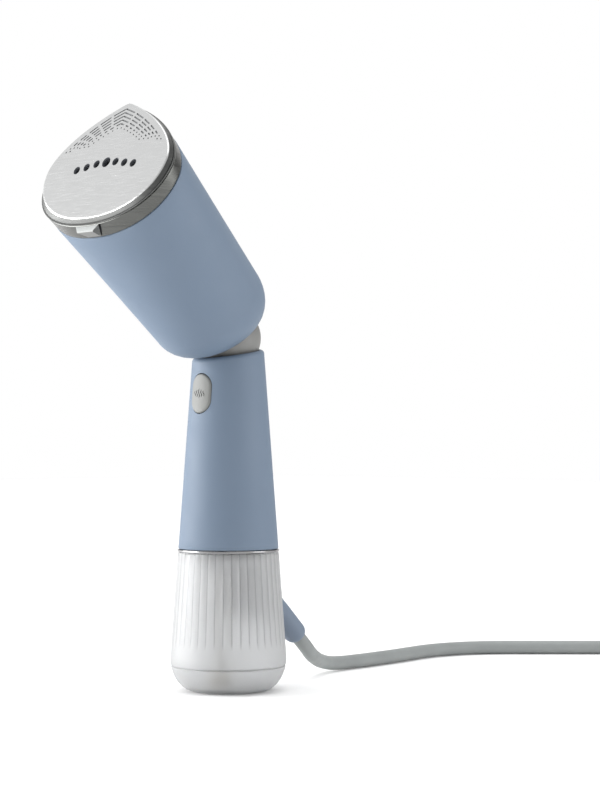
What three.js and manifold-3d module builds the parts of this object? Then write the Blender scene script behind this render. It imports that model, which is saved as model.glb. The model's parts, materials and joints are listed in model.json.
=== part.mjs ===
// Handheld garment steamer: a steam head on a tilting neck, a tapered handle, a pull-off water tank
// and a mains cord.
// Millimetres, +Z up. The origin is the centre of the tank's flat bottom. The button faces -Y and the
// cord leaves at +Y.
import * as THREE from "three";
import { mergeVertices } from "three/addons/utils/BufferGeometryUtils.js";
import Module from "manifold-3d";

const wasm = await Module();
wasm.setup();

// ---- Driving dimensions ----
const GAP = 0.3; // between pieces that touch
const AROUND = 28; // sides of a large round piece
const SMALL_AROUND = 12; // sides of a small round piece

const BODY_R = 29; // widest radius of the tank
const BODY_R_Z = 16.5; // height of the widest radius
const BODY_TAPER = 0.0733; // radius lost per millimetre of height
const BASE_FLAT_R = 17;
const SEAM_Z = 12.5; // between the tank and its base
const TANK_TOP = 69.2;
const TANK_WALL = 1.8;
const HANDLE_BOTTOM = 70.8;
const HANDLE_WALL = 2.2;
const RIM_Z = 168.3; // handle rim on the axis
const RIM_SLOPE = 0.165; // the rim climbs towards the cord side
const LIP = 2.1; // rounding of the handle rim

const PIVOT_Z = 176;
const BALL_R = 16.2;
const HEAD_TILT = 45.8; // degrees forward of upright

const HEAD_LENGTH = 112.9; // pivot to the face, along the head's axis
const PLATE_SLANT = 0.335; // the face leans back by this slope
const REAR_Z = -3.2; // lowest point of the head's rear dome
const REAR_DEPTH = 24.9; // length of the dome
const REAR_MIDDLE = 0.3; // middle of the section in front of the dome
const REAR_SHIFT = 12.3; // the dome's pole leans this far to the upper side
const REAR_HALF = [29.4, 30.1]; // half width and half height of the head behind
const PLATE_HALF = 46; // half width of the plate
const PLATE_UP = 38.1; // widest line of the plate to its tip, in the plane of the face
const PLATE_DOWN = 29.8;
const PLATE_WIDEST = -2.1; // widest line, above or below the head's axis
const PLATE_DEPTH = 4.2;
const BAND_END = 10.6; // steel band's rear edge, behind the face
const SHELL_WALL = 2.2;

const BUTTON_Z = 148;
const BUTTON_SIZE = [13, 19.5];
const BUTTON_PROUD = 0.7;

const MOUTH_Y = -5; // axis of the tank's mouth, pump and dip tube
const MOUTH_R = 14.8;
const SPINE_HALF = 9.2; // the handle's spine behind the tank
const SPINE_Y = 13;
const SPINE_Z = 38.5;

const CORD_D = 7.5;
const RELIEF_END = new THREE.Vector3(0, 49.4, 23.6);
const RELIEF_DIR = new THREE.Vector3(0, 0.7195, -0.6945).normalize();
const RELIEF_R = 5.9;
const COIL_CENTRE = [42.3, 347.9];
const COIL_RADII = [30, 37.5, 45]; // the middle of each turn in a layer
const COIL_LAYERS = 2;
const TIE_DEGREES = 262; // where the tie holds the coil
const PLUG_LINE = [30, 80]; // distance of the plug's axis from the coil's centre, and its foot in degrees
const PLUG_Z = 24;

// Where the cord lies between the strain relief and the coil.
const CORD_ROUTE = [
  [0, 49.6, 23.4],
  [0, 55.2, 18],
  [-3, 62.5, 13.2],
  [-8.5, 72, 9.8],
  [-14.5, 82, 7.2],
  [-19, 93, 5],
  [-21.2, 104, 4],
  [-22, 117, 3.8],
  [-23, 133, 3.8],
  [-25, 152, 3.8],
  [-27.8, 170, 3.8],
  [-29.6, 183, 3.8],
  [-29.3, 196, 3.8],
  [-26, 210.5, 3.8],
  [-20, 222.7, 3.8],
  [-11.3, 233.2, 3.8],
  [3.5, 247.5, 3.8],
  [21.4, 264.9, 3.8],
  [37.2, 280.2, 3.8],
  [54.3, 296.8, 3.8],
];

// ---- Materials ----
const finish = (color, roughness, metalness = 0, opacity = 1) =>
  new THREE.MeshStandardMaterial({ color, roughness, metalness, opacity, transparent: opacity < 1 });

const blue = finish("#8fa6c2", 0.5);
const deepBlue = finish("#6f7f97", 0.5);
const grey = finish("#8b8b88", 0.55);
const buttonGrey = finish("#a9adaa", 0.45);
const darkPlastic = finish("#2f3236", 0.6);
const whitePlastic = finish("#d9dadb", 0.5);
const frosted = finish("#d4d7d8", 0.35, 0, 0.6);
const steel = finish("#a6a8ab", 0.3, 1);
const brightPlate = finish("#d5d6d7", 0.28, 0.6);
const aluminium = finish("#b4b6b8", 0.45, 1);
const brass = finish("#b8a36a", 0.35, 1);
const silicone = finish("#c9c6bf", 0.7);
const circuit = finish("#2f6b45", 0.6);
const cordGrey = finish("#a4a9ac", 0.55);

// ---- Solids ----
const turn = THREE.MathUtils.degToRad;
const place = (x = 0, y = 0, z = 0) => new THREE.Matrix4().makeTranslation(x, y, z);

// A closed geometry as a solid that can be cut and joined, facing outwards.
function solid(geometry, matrix) {
  let plain = new THREE.BufferGeometry();
  plain.setAttribute("position", geometry.getAttribute("position").clone());
  if (geometry.index) plain.setIndex(geometry.index.clone());
  if (matrix) plain.applyMatrix4(matrix);
  plain = mergeVertices(plain, 1e-4);
  const corners = [];
  const index = plain.index.array;
  for (let i = 0; i < index.length; i += 3) {
    const [a, b, c] = index.slice(i, i + 3);
    if (a !== b && b !== c && c !== a) corners.push([a, b, c]);
  }
  const vertProperties = new Float32Array(plain.attributes.position.array);
  const build = (triangles) =>
    new wasm.Manifold(
      new wasm.Mesh({ numProp: 3, vertProperties, triVerts: new Uint32Array(triangles.flat()) }),
    );
  const made = build(corners);
  return made.volume() < 0 ? build(corners.map(([a, b, c]) => [a, c, b])) : made;
}

function geometryOf(made) {
  const mesh = made.getMesh();
  const positions = new Float32Array(mesh.numVert * 3);
  for (let i = 0; i < mesh.numVert; i++)
    positions.set(mesh.vertProperties.subarray(i * mesh.numProp, i * mesh.numProp + 3), i * 3);
  const geometry = new THREE.BufferGeometry();
  geometry.setAttribute("position", new THREE.BufferAttribute(positions, 3));
  geometry.setIndex(new THREE.BufferAttribute(new Uint32Array(mesh.triVerts), 1));
  geometry.computeVertexNormals();
  return geometry;
}

const cut = (from, ...tools) => tools.reduce((left, tool) => left.subtract(tool), from);
const join = (first, ...others) => others.reduce((all, other) => all.add(other), first);

function addPiece(group, name, made, material) {
  const mesh = new THREE.Mesh(geometryOf(made), material);
  mesh.name = name;
  group.add(mesh);
  return mesh;
}

// A solid of revolution about Z from [radius, height] pairs, which start and end on the axis or close
// on themselves.
function revolve(profile, sides = AROUND) {
  const lathe = new THREE.LatheGeometry(profile.map(([r, z]) => new THREE.Vector2(r, z)), sides);
  return solid(lathe.rotateX(Math.PI / 2));
}

const rod = (r, z0, z1, sides = SMALL_AROUND) => revolve([[0, z0], [r, z0], [r, z1], [0, z1]], sides);

const tube = (outer, inner, z0, z1, sides = AROUND) =>
  revolve([[inner, z0], [outer, z0], [outer, z1], [inner, z1], [inner, z0]], sides);

const ball = (r, sides = 24) => solid(new THREE.SphereGeometry(r, sides, sides / 2));

function block(x0, x1, y0, y1, z0, z1) {
  const box = new THREE.BoxGeometry(x1 - x0, y1 - y0, z1 - z0);
  return solid(box, place((x0 + x1) / 2, (y0 + y1) / 2, (z0 + z1) / 2));
}

// A solid whose own +Z is turned to point along a direction, from a point.
function aimed(made, from, direction) {
  const upright = new THREE.Vector3(0, 0, 1);
  const spin = new THREE.Quaternion().setFromUnitVectors(upright, direction.clone().normalize());
  return made.transform(new THREE.Matrix4().compose(from, spin, new THREE.Vector3(1, 1, 1)).elements);
}

const along = (made, x, y, z, direction) => aimed(made, new THREE.Vector3(x, y, z), direction);
const SIDEWAYS = new THREE.Vector3(1, 0, 0);
const BACKWARDS = new THREE.Vector3(0, 1, 0);

// Rings of equal count joined in order: capped at both ends, or closed from the last ring to the first.
function loft(rings, closed = false) {
  const count = rings[0].length;
  const points = rings.flat();
  const faces = [];
  const steps = closed ? rings.length : rings.length - 1;
  for (let i = 0; i < steps; i++) {
    const a = i * count;
    const b = ((i + 1) % rings.length) * count;
    for (let k = 0; k < count; k++) {
      const next = (k + 1) % count;
      faces.push([a + k, a + next, b + next], [a + k, b + next, b + k]);
    }
  }
  const cap = (ring, base, flip) => {
    const middle = ring.reduce((sum, p) => sum.add(p), new THREE.Vector3()).divideScalar(count);
    points.push(middle);
    for (let k = 0; k < count; k++) {
      const pair = [base + k, base + ((k + 1) % count)];
      faces.push(flip ? [points.length - 1, pair[1], pair[0]] : [points.length - 1, pair[0], pair[1]]);
    }
  };
  if (!closed) {
    cap(rings[0], 0, true);
    cap(rings.at(-1), (rings.length - 1) * count, false);
  }
  const geometry = new THREE.BufferGeometry().setFromPoints(points);
  geometry.setIndex(faces.flat());
  return solid(geometry);
}

// A round bar of the given radius along a smooth curve through points.
function bar(points, radius, steps, sides = 10) {
  const section = new THREE.Shape();
  for (let k = 0; k < sides; k++) {
    const angle = (2 * Math.PI * k) / sides;
    section[k ? "lineTo" : "moveTo"](radius * Math.cos(angle), radius * Math.sin(angle));
  }
  section.closePath();
  const path = new THREE.CatmullRomCurve3(points.map((p) => new THREE.Vector3(...p)), false, "centripetal");
  const geometry = new THREE.ExtrudeGeometry(section, { steps, extrudePath: path, bevelEnabled: false });
  return solid(geometry);
}

// An upright stadium, width by height, extruded along +Y from y0 to y1.
function stadium(width, height, y0, y1, z) {
  const r = width / 2;
  const straight = height / 2 - r;
  const outline = new THREE.Shape();
  outline.absarc(0, straight, r, 0, Math.PI);
  outline.absarc(0, -straight, r, Math.PI, 2 * Math.PI);
  const settings = { depth: y1 - y0, bevelEnabled: false, curveSegments: 8 };
  const geometry = new THREE.ExtrudeGeometry(outline, settings);
  geometry.rotateX(Math.PI / 2);
  return solid(geometry, place(0, y1, z));
}

// An upright screw between two heights, its head at one of them and its thread up to the other.
function screw(headR, headFrom, headTo, tip) {
  const middle = (headFrom + headTo) / 2;
  return join(rod(headR, headFrom, headTo), rod(1.3, Math.min(middle, tip), Math.max(middle, tip)));
}

// ---- Shared outlines ----
// Radius of the one long cone that the tank and the handle share, rounded in below its widest line.
function bodyRadius(z) {
  if (z >= BODY_R_Z) return BODY_R - BODY_TAPER * (z - BODY_R_Z);
  const drop = (BODY_R_Z - z) / BODY_R_Z;
  return BODY_R - (BODY_R - BASE_FLAT_R) * (1 - Math.sqrt(Math.max(0, 1 - drop * drop)));
}

// Outline of the plate in the plane of its face, at an angle around its middle: x across, q up towards
// the tip.
function plateOutline(angle) {
  const across = Math.cos(angle);
  const up = Math.sin(angle);
  if (up >= 0) {
    const pointed = 1.02 - Math.sqrt(across * across + 0.0004 * up * up) - 0.02 * Math.abs(across);
    return [PLATE_HALF * across, PLATE_WIDEST + PLATE_UP * (0.6 * up + 0.4 * pointed)];
  }
  const power = 2 / 2.2;
  const x = Math.sign(across) * Math.abs(across) ** power;
  return [PLATE_HALF * x, PLATE_WIDEST - PLATE_DOWN * Math.abs(up) ** power];
}

const FACE_COS = 1 / Math.hypot(1, PLATE_SLANT);
const PLATE_HALF_HEIGHT = ((PLATE_UP + PLATE_DOWN) / 2) * FACE_COS;
const PLATE_MIDDLE = (PLATE_WIDEST + (PLATE_UP - PLATE_DOWN) / 2) * FACE_COS;

const DOME_END = REAR_Z + REAR_DEPTH;

// One ring of the head's outline, drawn in by inset. Its height on the head's axis is a function of the
// ring's y.
function headRing(inset, height, count = AROUND) {
  const straight = HEAD_LENGTH - DOME_END;
  return Array.from({ length: count }, (_, k) => {
    const angle = (2 * Math.PI * k) / count;
    const [fx, fq] = plateOutline(angle);
    const fy = fq * FACE_COS;
    const rx = REAR_HALF[0] * Math.cos(angle);
    const ry = REAR_MIDDLE + REAR_HALF[1] * Math.sin(angle);
    let y = fy;
    let share = 1;
    for (let pass = 0; pass < 6; pass++) {
      share = THREE.MathUtils.clamp((height(y) - DOME_END) / straight, 0, 1.2);
      y = ry + share * (fy - ry);
    }
    const x = rx + share * (fx - rx);
    const halfWidth = REAR_HALF[0] + share * (PLATE_HALF - REAR_HALF[0]);
    const halfHeight = REAR_HALF[1] + share * (PLATE_HALF_HEIGHT - REAR_HALF[1]);
    const middle = REAR_MIDDLE + share * (PLATE_MIDDLE - REAR_MIDDLE);
    const py = middle + (y - middle) * (1 - inset / halfHeight);
    return new THREE.Vector3(x * (1 - inset / halfWidth), py, height(py));
  });
}

const behindFace = (depth) => (y) => HEAD_LENGTH + PLATE_SLANT * y - depth;
const level = (z) => () => z;

// One ring of the rear dome, from its pole at step 0 to the full section at step 1.
function domeRing(inset, step, count = AROUND) {
  const size = Math.sin((step * Math.PI) / 2);
  const z = REAR_Z + inset + (REAR_DEPTH - inset) * (1 - Math.cos((step * Math.PI) / 2));
  return Array.from({ length: count }, (_, k) => {
    const angle = (2 * Math.PI * k) / count;
    const y = REAR_MIDDLE + REAR_SHIFT * (1 - size) + (REAR_HALF[1] - inset) * size * Math.sin(angle);
    return new THREE.Vector3((REAR_HALF[0] - inset) * size * Math.cos(angle), y, z);
  });
}

// The head's outer surface from its rear pole to a depth behind the face, as rings.
function headRings(inset, depth) {
  const dome = [0.1, 0.25, 0.42, 0.6, 0.8, 1].map((step) => domeRing(inset, step));
  const front = headRing(inset, behindFace(depth));
  const middle = dome.at(-1).map((p, k) => p.clone().lerp(front[k], 0.5));
  return [...dome, middle, front];
}

const headRingWall = (outer, inner, near, far) =>
  loft(
    [
      headRing(outer, behindFace(far)),
      headRing(outer, behindFace(near)),
      headRing(inner, behindFace(near)),
      headRing(inner, behindFace(far)),
    ],
    true,
  );

// ---- Water tank ----
const notch = (grow) =>
  block(
    -SPINE_HALF - 0.7 - grow,
    SPINE_HALF + 0.7 + grow,
    SPINE_Y - 0.7 - grow,
    40,
    SPINE_Z - 2.7 - grow,
    90,
  );

const cone = (inset, z0, z1) => {
  const levels = [z0, z1];
  if (z0 < BODY_R_Z) levels.splice(1, 0, BODY_R_Z);
  return revolve([[0, z0], ...levels.map((z) => [bodyRadius(z) - inset, z]), [0, z1]]);
};

function tankBase() {
  const outer = [0, 0.6, 2, 4, 7, 10, SEAM_Z].map((z) => [bodyRadius(z), z]);
  const inner = [SEAM_Z, 10, 7, 4, 2.4].map((z) => [bodyRadius(z) - TANK_WALL, z]);
  return revolve([[0, 0], ...outer, ...inner, [0, 2.4]]);
}

function tankBody() {
  const outer = cut(cone(0, SEAM_Z + GAP, TANK_TOP), notch(0));
  const inner = cut(cone(TANK_WALL, SEAM_Z - 1, TANK_TOP + 1), notch(TANK_WALL));
  return cut(outer, inner);
}

function tankNeck() {
  const plate = cut(cone(TANK_WALL + GAP, 62.5, 66), notch(TANK_WALL + GAP));
  return cut(plate, rod(MOUTH_R, 60, 70, AROUND).translate(0, MOUTH_Y, 0));
}

// ---- Handle ----
function handleShell() {
  const ring = (radius, height) =>
    Array.from({ length: AROUND }, (_, k) => {
      const angle = (2 * Math.PI * k) / AROUND;
      let z = height(0);
      for (let pass = 0; pass < 4; pass++) z = height(radius(z) * Math.sin(angle));
      return new THREE.Vector3(radius(z) * Math.cos(angle), radius(z) * Math.sin(angle), z);
    });
  const inset = (amount) => (z) => bodyRadius(z) - amount;
  const rim = (below) => (y) => RIM_Z + RIM_SLOPE * y - below;
  const rings = [ring(inset(0), level(HANDLE_BOTTOM)), ring(inset(0), level(120))];
  for (const step of [0, 0.33, 0.67, 1]) {
    const angle = (step * Math.PI) / 2;
    rings.push(ring(inset(LIP * (1 - Math.cos(angle))), rim(LIP * (1 - Math.sin(angle)))));
  }
  rings.push(ring(inset(LIP + 0.2), rim(0.6)), ring(inset(LIP + 0.2), rim(5)));
  rings.push(ring(inset(HANDLE_WALL), rim(7)), ring(inset(HANDLE_WALL), level(HANDLE_BOTTOM)));
  const spine = cone(0, SPINE_Z, HANDLE_BOTTOM + 1.5).intersect(
    block(-SPINE_HALF, SPINE_HALF, SPINE_Y, 40, SPINE_Z, HANDLE_BOTTOM + 1.5),
  );
  const bosses = chassisCorners.map(([x, y]) => rod(3.4, 74.9, 86).translate(x * 1.09, y * 1.09, 0));
  const bossBores = chassisCorners.map(([x, y]) => rod(1.6, 74, 84).translate(x, y, 0));
  return cut(
    join(loft(rings, true), spine, ...bosses).intersect(cone(0, SPINE_Z - 1, 200)),
    ball(BALL_R + GAP).translate(0, 0, PIVOT_Z),
    stadium(BUTTON_SIZE[0] + 0.7, BUTTON_SIZE[1] + 0.7, -30, -10, BUTTON_Z),
    rod(4.1, 48, 80).translate(0, 17.8, 0),
    aimed(rod(4.1, -44, 0), RELIEF_END, RELIEF_DIR),
    aimed(rod(RELIEF_R + GAP, -33.5, 0), RELIEF_END, RELIEF_DIR),
    ...bossBores,
    headClearance(),
  );
}

// The room that the head's rounded rear end needs when it is tilted fully forward.
const headClearance = () =>
  loft(headRings(-0.5, BAND_END)).rotate([HEAD_TILT, 0, 0]).translate(0, 0, PIVOT_Z);

const chassisCorners = [35, 145, 215, 325].map((a) => [19.3 * Math.cos(turn(a)), 19.3 * Math.sin(turn(a))]);

function handleChassis() {
  const spineRoom = block(-SPINE_HALF - 1, SPINE_HALF + 1, SPINE_Y - 1, 40, 70, 72.7);
  const disc = cut(cone(HANDLE_WALL + GAP, 71.3, 74.3), spineRoom);
  return cut(
    join(disc, block(-6, 6, 9, 11.5, 73, 146)),
    rod(2.6, 70, 76).translate(0, MOUTH_Y, 0),
    rod(4.6, 70, 76).translate(0, 17.8, 0),
    ...chassisCorners.map(([x, y]) => rod(1.6, 70, 76).translate(x, y, 0)),
  );
}

function trimRing() {
  const ring = revolve([[22.6, 69.5], [25.45, 69.5], [25.45, 70.5], [22.6, 70.5], [22.6, 69.5]]);
  return cut(ring, block(-SPINE_HALF - GAP, SPINE_HALF + GAP, SPINE_Y, 40, 60, 80));
}

function neckBall() {
  const collar = (below) =>
    Array.from({ length: AROUND }, (_, k) => {
      const angle = (2 * Math.PI * k) / AROUND;
      const y = 14.5 * Math.sin(angle);
      return new THREE.Vector3(14.5 * Math.cos(angle), y, RIM_Z + RIM_SLOPE * y - below);
    });
  const whole = join(
    ball(BALL_R).translate(0, 0, PIVOT_Z),
    loft([collar(4.2), collar(2.2)]),
    rod(11, 157.5, 168, AROUND),
  );
  // The slot lets the two ears of the head bracket swing, and the bore carries the hose and wires.
  const slot = [-1, -0.5, 0, 0.35].map((lean) =>
    along(
      block(-6.6, 6.6, -6.2, 6.2, -6.5, 30),
      0,
      0,
      PIVOT_Z,
      new THREE.Vector3(0, Math.tan(turn(HEAD_TILT * lean)), 1),
    ),
  );
  const pinBore = along(rod(2.3, -20, 20), 0, 0, PIVOT_Z, SIDEWAYS);
  return cut(whole, ...slot, pinBore, rod(4.5, 150, PIVOT_Z), rimClearance());
}

// Only the collar gives way to the head; the ball itself sits inside the head's socket.
const rimClearance = () => cut(headClearance(), ball(BALL_R + GAP).translate(0, 0, PIVOT_Z));

const stubPin = (side) =>
  along(rod(2, 3.2, 13.4), 0, 0, PIVOT_Z, SIDEWAYS.clone().multiplyScalar(side));

// ---- Pump and electrics in the handle ----
const pumpBody = () =>
  join(rod(8.5, 79, 110, 24), rod(3, 77.6, 80), rod(1.9, 109, 116)).translate(0, MOUTH_Y, 0);

const pumpClamp = () => {
  const ring = tube(10.8, 8.8, 92, 98, 24).translate(0, MOUTH_Y, 0);
  const tab = block(-4, 4, 4.5, 8.7, 92, 98);
  return cut(join(ring, tab), rod(8.8, 90, 100, 24).translate(0, MOUTH_Y, 0));
};

const microSwitch = () =>
  join(block(-3.2, 3.2, -11.6, -8.9, 142, 154), block(-1.6, 1.6, -9.4, -8.9, 143, 153));

const inletSpigot = () =>
  cut(
    join(rod(12.2, 60, 69, AROUND), rod(13.7, 68, 71, AROUND)),
    rod(2.6, 55, 75),
    tube(10.4, 4.2, 58, 67.5, 24),
  ).translate(0, MOUTH_Y, 0);

const tankSeal = () =>
  revolve([[12.5, 62.6], [14.2, 62.6], [14.5, 63.2], [14.5, 65.4], [14.2, 66], [12.5, 66], [12.5, 62.6]])
    .translate(0, MOUTH_Y, 0);

const dipTube = () => cut(rod(2.1, 9.4, 77.3), rod(1.1, 9, 78, 8)).translate(0, MOUTH_Y, 0);
function filterWeight() {
  const outline = [[0, 3.4], [4.4, 3.4], [5, 4], [5, 8.4], [4.4, 9.1], [0, 9.1]];
  return cut(revolve(outline, SMALL_AROUND), rod(1.2, 3, 7)).translate(0, MOUTH_Y, 0);
}

const lowerHose = () =>
  bar([[0, MOUTH_Y, 116.3], [0, MOUTH_Y + 0.4, 124], [0, -2, 140], [0, 0, 156], [0, 0, 169]], 1.8, 12, 8);

// ---- Trigger button ----
function triggerButton() {
  const [width, height] = BUTTON_SIZE;
  const cap = stadium(width, height, -30, -16.6, BUTTON_Z).intersect(cone(-BUTTON_PROUD, 100, 180));
  const stem = stadium(8, 14, -17, -13.6, BUTTON_Z);
  const flange = stadium(15.6, 21, -15.1, -13.7, BUTTON_Z);
  const inside = cone(HANDLE_WALL + 0.5, 100, 180);
  const plunger = block(-1.5, 1.5, -14, -13, BUTTON_Z - 2, BUTTON_Z + 2);
  return join(cap, stem, flange.intersect(inside), plunger);
}

// ---- Head, in its own frame: the pivot at the origin and the steam axis along +Z ----
function headShell() {
  const outer = headRings(0, BAND_END + GAP);
  const inner = headRings(SHELL_WALL, BAND_END + GAP).reverse();
  const whole = loft([...outer, ...inner]);
  return cut(whole, ball(BALL_R + 0.5));
}

function steamPlate() {
  const rings = [
    headRing(2, behindFace(PLATE_DEPTH)),
    headRing(0.5, behindFace(PLATE_DEPTH)),
    headRing(0, behindFace(PLATE_DEPTH - 0.7)),
    headRing(0, behindFace(1.4)),
    headRing(0.5, behindFace(0.3)),
    headRing(1.7, behindFace(0)),
  ];
  const back = headRing(2.2, behindFace(2.6));
  const hollow = loft([headRing(2.2, behindFace(PLATE_DEPTH + 1)), back]);
  return cut(loft(rings), hollow, ...STEAM_HOLES.map(([x, q, r]) => faceTool(rod(r, -9, 9, 12), x, q)));
}

// The steam holes: across, up, radius.
const STEAM_HOLES = [
  [0, 1.9, 2.6],
  ...[1, -1].flatMap((side) => [
    [6.85 * side, 1.55, 2],
    [13.6 * side, 0.45, 2],
    [20.3 * side, -0.6, 2],
  ]),
];

// A solid standing on the plate's face at a place in its plane.
function faceTool(made, x, q) {
  const lean = new THREE.Vector3(0, -PLATE_SLANT, 1);
  return along(made, x, q * FACE_COS, HEAD_LENGTH + q * FACE_COS * PLATE_SLANT, lean);
}

const steelBand = () => headRingWall(0.25, 1.45, PLATE_DEPTH + GAP, BAND_END);
const plateCarrier = () => headRingWall(2.5, 4.4, PLATE_DEPTH + GAP, 24);
const plateGasket = () => headRingWall(2.7, 5.4, 2.95, PLATE_DEPTH);

function attachmentCatch() {
  const tab = faceTool(block(-5.6, 5.6, -33.6, -31, -8.5, -2), 0, 0);
  const clear = loft([headRing(-GAP, behindFace(30)), headRing(-GAP, behindFace(-6))]);
  return cut(tab, clear);
}

const screwPlaces = [
  [-17, -11],
  [17, -11],
  [-17, 11],
  [17, 11],
];

function headBracket() {
  const plate = loft([headRing(SHELL_WALL + 0.6, level(21)), headRing(SHELL_WALL + 0.6, level(24))]);
  const ears = [1, -1].map((side) => {
    const [x0, x1] = side > 0 ? [3.1, 6] : [-6, -3.1];
    return join(block(x0, x1, -4.8, 4.8, 0, 22), along(rod(4.8, x0, x1), 0, 0, 0, SIDEWAYS));
  });
  const posts = screwPlaces.map(([x, y]) => rod(3.4, 23, 33.6).translate(x, y, 0));
  const bores = screwPlaces.map(([x, y]) => rod(1.7, 26, 40).translate(x, y, 0));
  const pinBore = along(rod(2.3, -10, 10), 0, 0, 0, SIDEWAYS);
  return cut(join(plate, ...ears, ...posts), pinBore, rod(2.6, 15, 30), ...bores);
}

function heatShield() {
  const outer = loft([headRing(3.2, level(34)), headRing(3.2, behindFace(24.6))]);
  const inner = loft([headRing(4.1, level(35)), headRing(4.1, behindFace(20))]);
  const bores = screwPlaces.map(([x, y]) => rod(1.7, 30, 40).translate(x, y, 0));
  return cut(outer, inner, rod(2.6, 30, 40), ...bores);
}

const ovalBlock = (halfX, halfY, z0, z1, sides = 32) =>
  rod(1, z0, z1, sides).scale([halfX, halfY, 1]);

const elementRun = [
  [-11, -9, 41.6],
  [-11, 2, 41.6],
  [-8, 8.5, 41.6],
  [0, 11, 41.6],
  [8, 8.5, 41.6],
  [11, 2, 41.6],
  [11, -9, 41.6],
];

function boilerBody() {
  const casting = ovalBlock(26, 17, 42.2, 80);
  const chamber = ovalBlock(20, 11.5, 52, 90);
  const inlet = rod(2.2, 40, 55);
  const bores = boltPlaces.map(([x, y]) => rod(1.6, 70, 90).translate(x, y, 0));
  return cut(casting, chamber, inlet, bar(elementRun, 3.3, 14, 8), ...bores);
}

const boltPlaces = [
  [-23, 0],
  [23, 0],
  [0, 14.2],
  [0, -14.2],
];

function boilerCover() {
  const plate = ovalBlock(26, 17, 80.3, 83.3);
  const duct = rod(8, 83, 102, 24);
  const bores = boltPlaces.map(([x, y]) => rod(1.6, 70, 90).translate(x, y, 0));
  return cut(join(plate, duct), rod(6, 70, 110, 24), ...bores);
}

const upperHose = () => bar([[0, 0, 6], [0, 0, 20], [0, 0, 30], [0, 0, 51]], 1.8, 6, 8);
const thermostat = () => along(rod(7, 0, 4), 0, 17.4, 60, BACKWARDS);
const thermalFuse = () => along(rod(1.7, -7, 7, 10), 0, -19.2, 60, SIDEWAYS);

// ---- Cord ----
const tail = [
  [0, 48.9, 24.1],
  [0, 41.9, 30.8],
  [0, 31.7, 40.7],
  [0, 22.6, 49.5],
  [0, 18.6, 55.3],
  [0, 17.8, 62],
  [0, 17.8, 84],
];

function strainRelief() {
  const outline = [
    [0, -33],
    [RELIEF_R - 0.2, -33],
    [RELIEF_R, -20],
    [RELIEF_R - 0.2, -2.5],
    [RELIEF_R - 1, -0.6],
    [RELIEF_R - 2, 0],
    [0, 0],
  ];
  return aimed(cut(revolve(outline, 24), rod(3.5, -40, 3)), RELIEF_END, RELIEF_DIR);
}

const cordGrip = () => cut(block(-6.5, 6.5, 12, 17.4, 75.6, 81), rod(3.5, 70, 90).translate(0, 17.8, 0));

function coilPoint(radius, degrees, z) {
  const angle = turn(degrees);
  return [COIL_CENTRE[0] + radius * Math.cos(angle), COIL_CENTRE[1] + radius * Math.sin(angle), z];
}

function cordCoil() {
  const inner = COIL_RADII[0] - CORD_D / 2;
  const outer = COIL_RADII.at(-1) + CORD_D / 2;
  const top = COIL_LAYERS * CORD_D + 0.1;
  const soft = 1.6;
  return revolve(
    [[inner + soft, 0.05], [outer - soft, 0.05], [outer, soft], [outer, top - soft], [outer - soft, top],
      [inner + soft, top], [inner, top - soft], [inner, soft], [inner + soft, 0.05]],
    28,
  ).translate(...COIL_CENTRE, 0);
}

// The plug's axis: a point s millimetres past the foot of its line.
function plugPoint(s) {
  const [distance, degrees] = PLUG_LINE;
  const [x, y] = coilPoint(distance, degrees, PLUG_Z);
  return [x - s * Math.sin(turn(degrees)), y + s * Math.cos(turn(degrees)), PLUG_Z];
}

const PLUG_RELIEF_START = -15;
const PLUG_BODY_START = 7;
const PLUG_BODY_END = 43;
const PIN_END = 62;
const PIN_SPREAD = 9.5;

function plugPart(made) {
  const [x, y, z] = plugPoint(0);
  return along(made, x, y, z, plugDirection());
}

function plugDirection() {
  const degrees = PLUG_LINE[1];
  return new THREE.Vector3(-Math.sin(turn(degrees)), Math.cos(turn(degrees)), 0);
}

const cordEnd = () =>
  bar(
    [
      coilPoint(45, -30, 19.4),
      coilPoint(45, -10, 21.3),
      coilPoint(43.6, 10, 22.9),
      coilPoint(40.4, 29, 23.8),
      plugPoint(-21),
      plugPoint(PLUG_RELIEF_START - GAP),
    ],
    CORD_D / 2,
    12,
    8,
  );

// A flat two-pin plug, wide across and thin up and down. The turned frame's X is the row's Z.
function flatSection(halfWide, halfThick, s) {
  return Array.from({ length: 20 }, (_, k) => {
    const angle = (2 * Math.PI * k) / 20;
    const bend = (v) => Math.sign(v) * Math.abs(v) ** 0.7;
    const [x, y] = plugPoint(s);
    const side = halfWide * bend(Math.cos(angle));
    const degrees = PLUG_LINE[1];
    return new THREE.Vector3(
      x + side * Math.cos(turn(degrees)),
      y + side * Math.sin(turn(degrees)),
      PLUG_Z + halfThick * bend(Math.sin(angle)),
    );
  });
}

function plugBody() {
  return loft([
    flatSection(6.5, 6, PLUG_BODY_START),
    flatSection(9.5, 7.2, PLUG_BODY_START + 5),
    flatSection(15.5, 8.3, PLUG_BODY_START + 16),
    flatSection(17.5, 8.4, PLUG_BODY_END - 6),
    flatSection(16.8, 7.8, PLUG_BODY_END - 1),
    flatSection(15.8, 7, PLUG_BODY_END),
  ]);
}

const plugRelief = () =>
  plugPart(revolve([[0, PLUG_RELIEF_START], [4.6, PLUG_RELIEF_START], [5.6, PLUG_BODY_START - GAP],
    [0, PLUG_BODY_START - GAP]], 20));

function plugPin(side) {
  const degrees = PLUG_LINE[1];
  const pin = plugPart(revolve([[0, PLUG_BODY_END + GAP], [2.4, PLUG_BODY_END + GAP], [2.4, PIN_END - 1.2],
    [1.5, PIN_END], [0, PIN_END]], 12));
  const shift = side * PIN_SPREAD;
  return pin.translate(shift * Math.cos(turn(degrees)), shift * Math.sin(turn(degrees)), 0);
}

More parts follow.
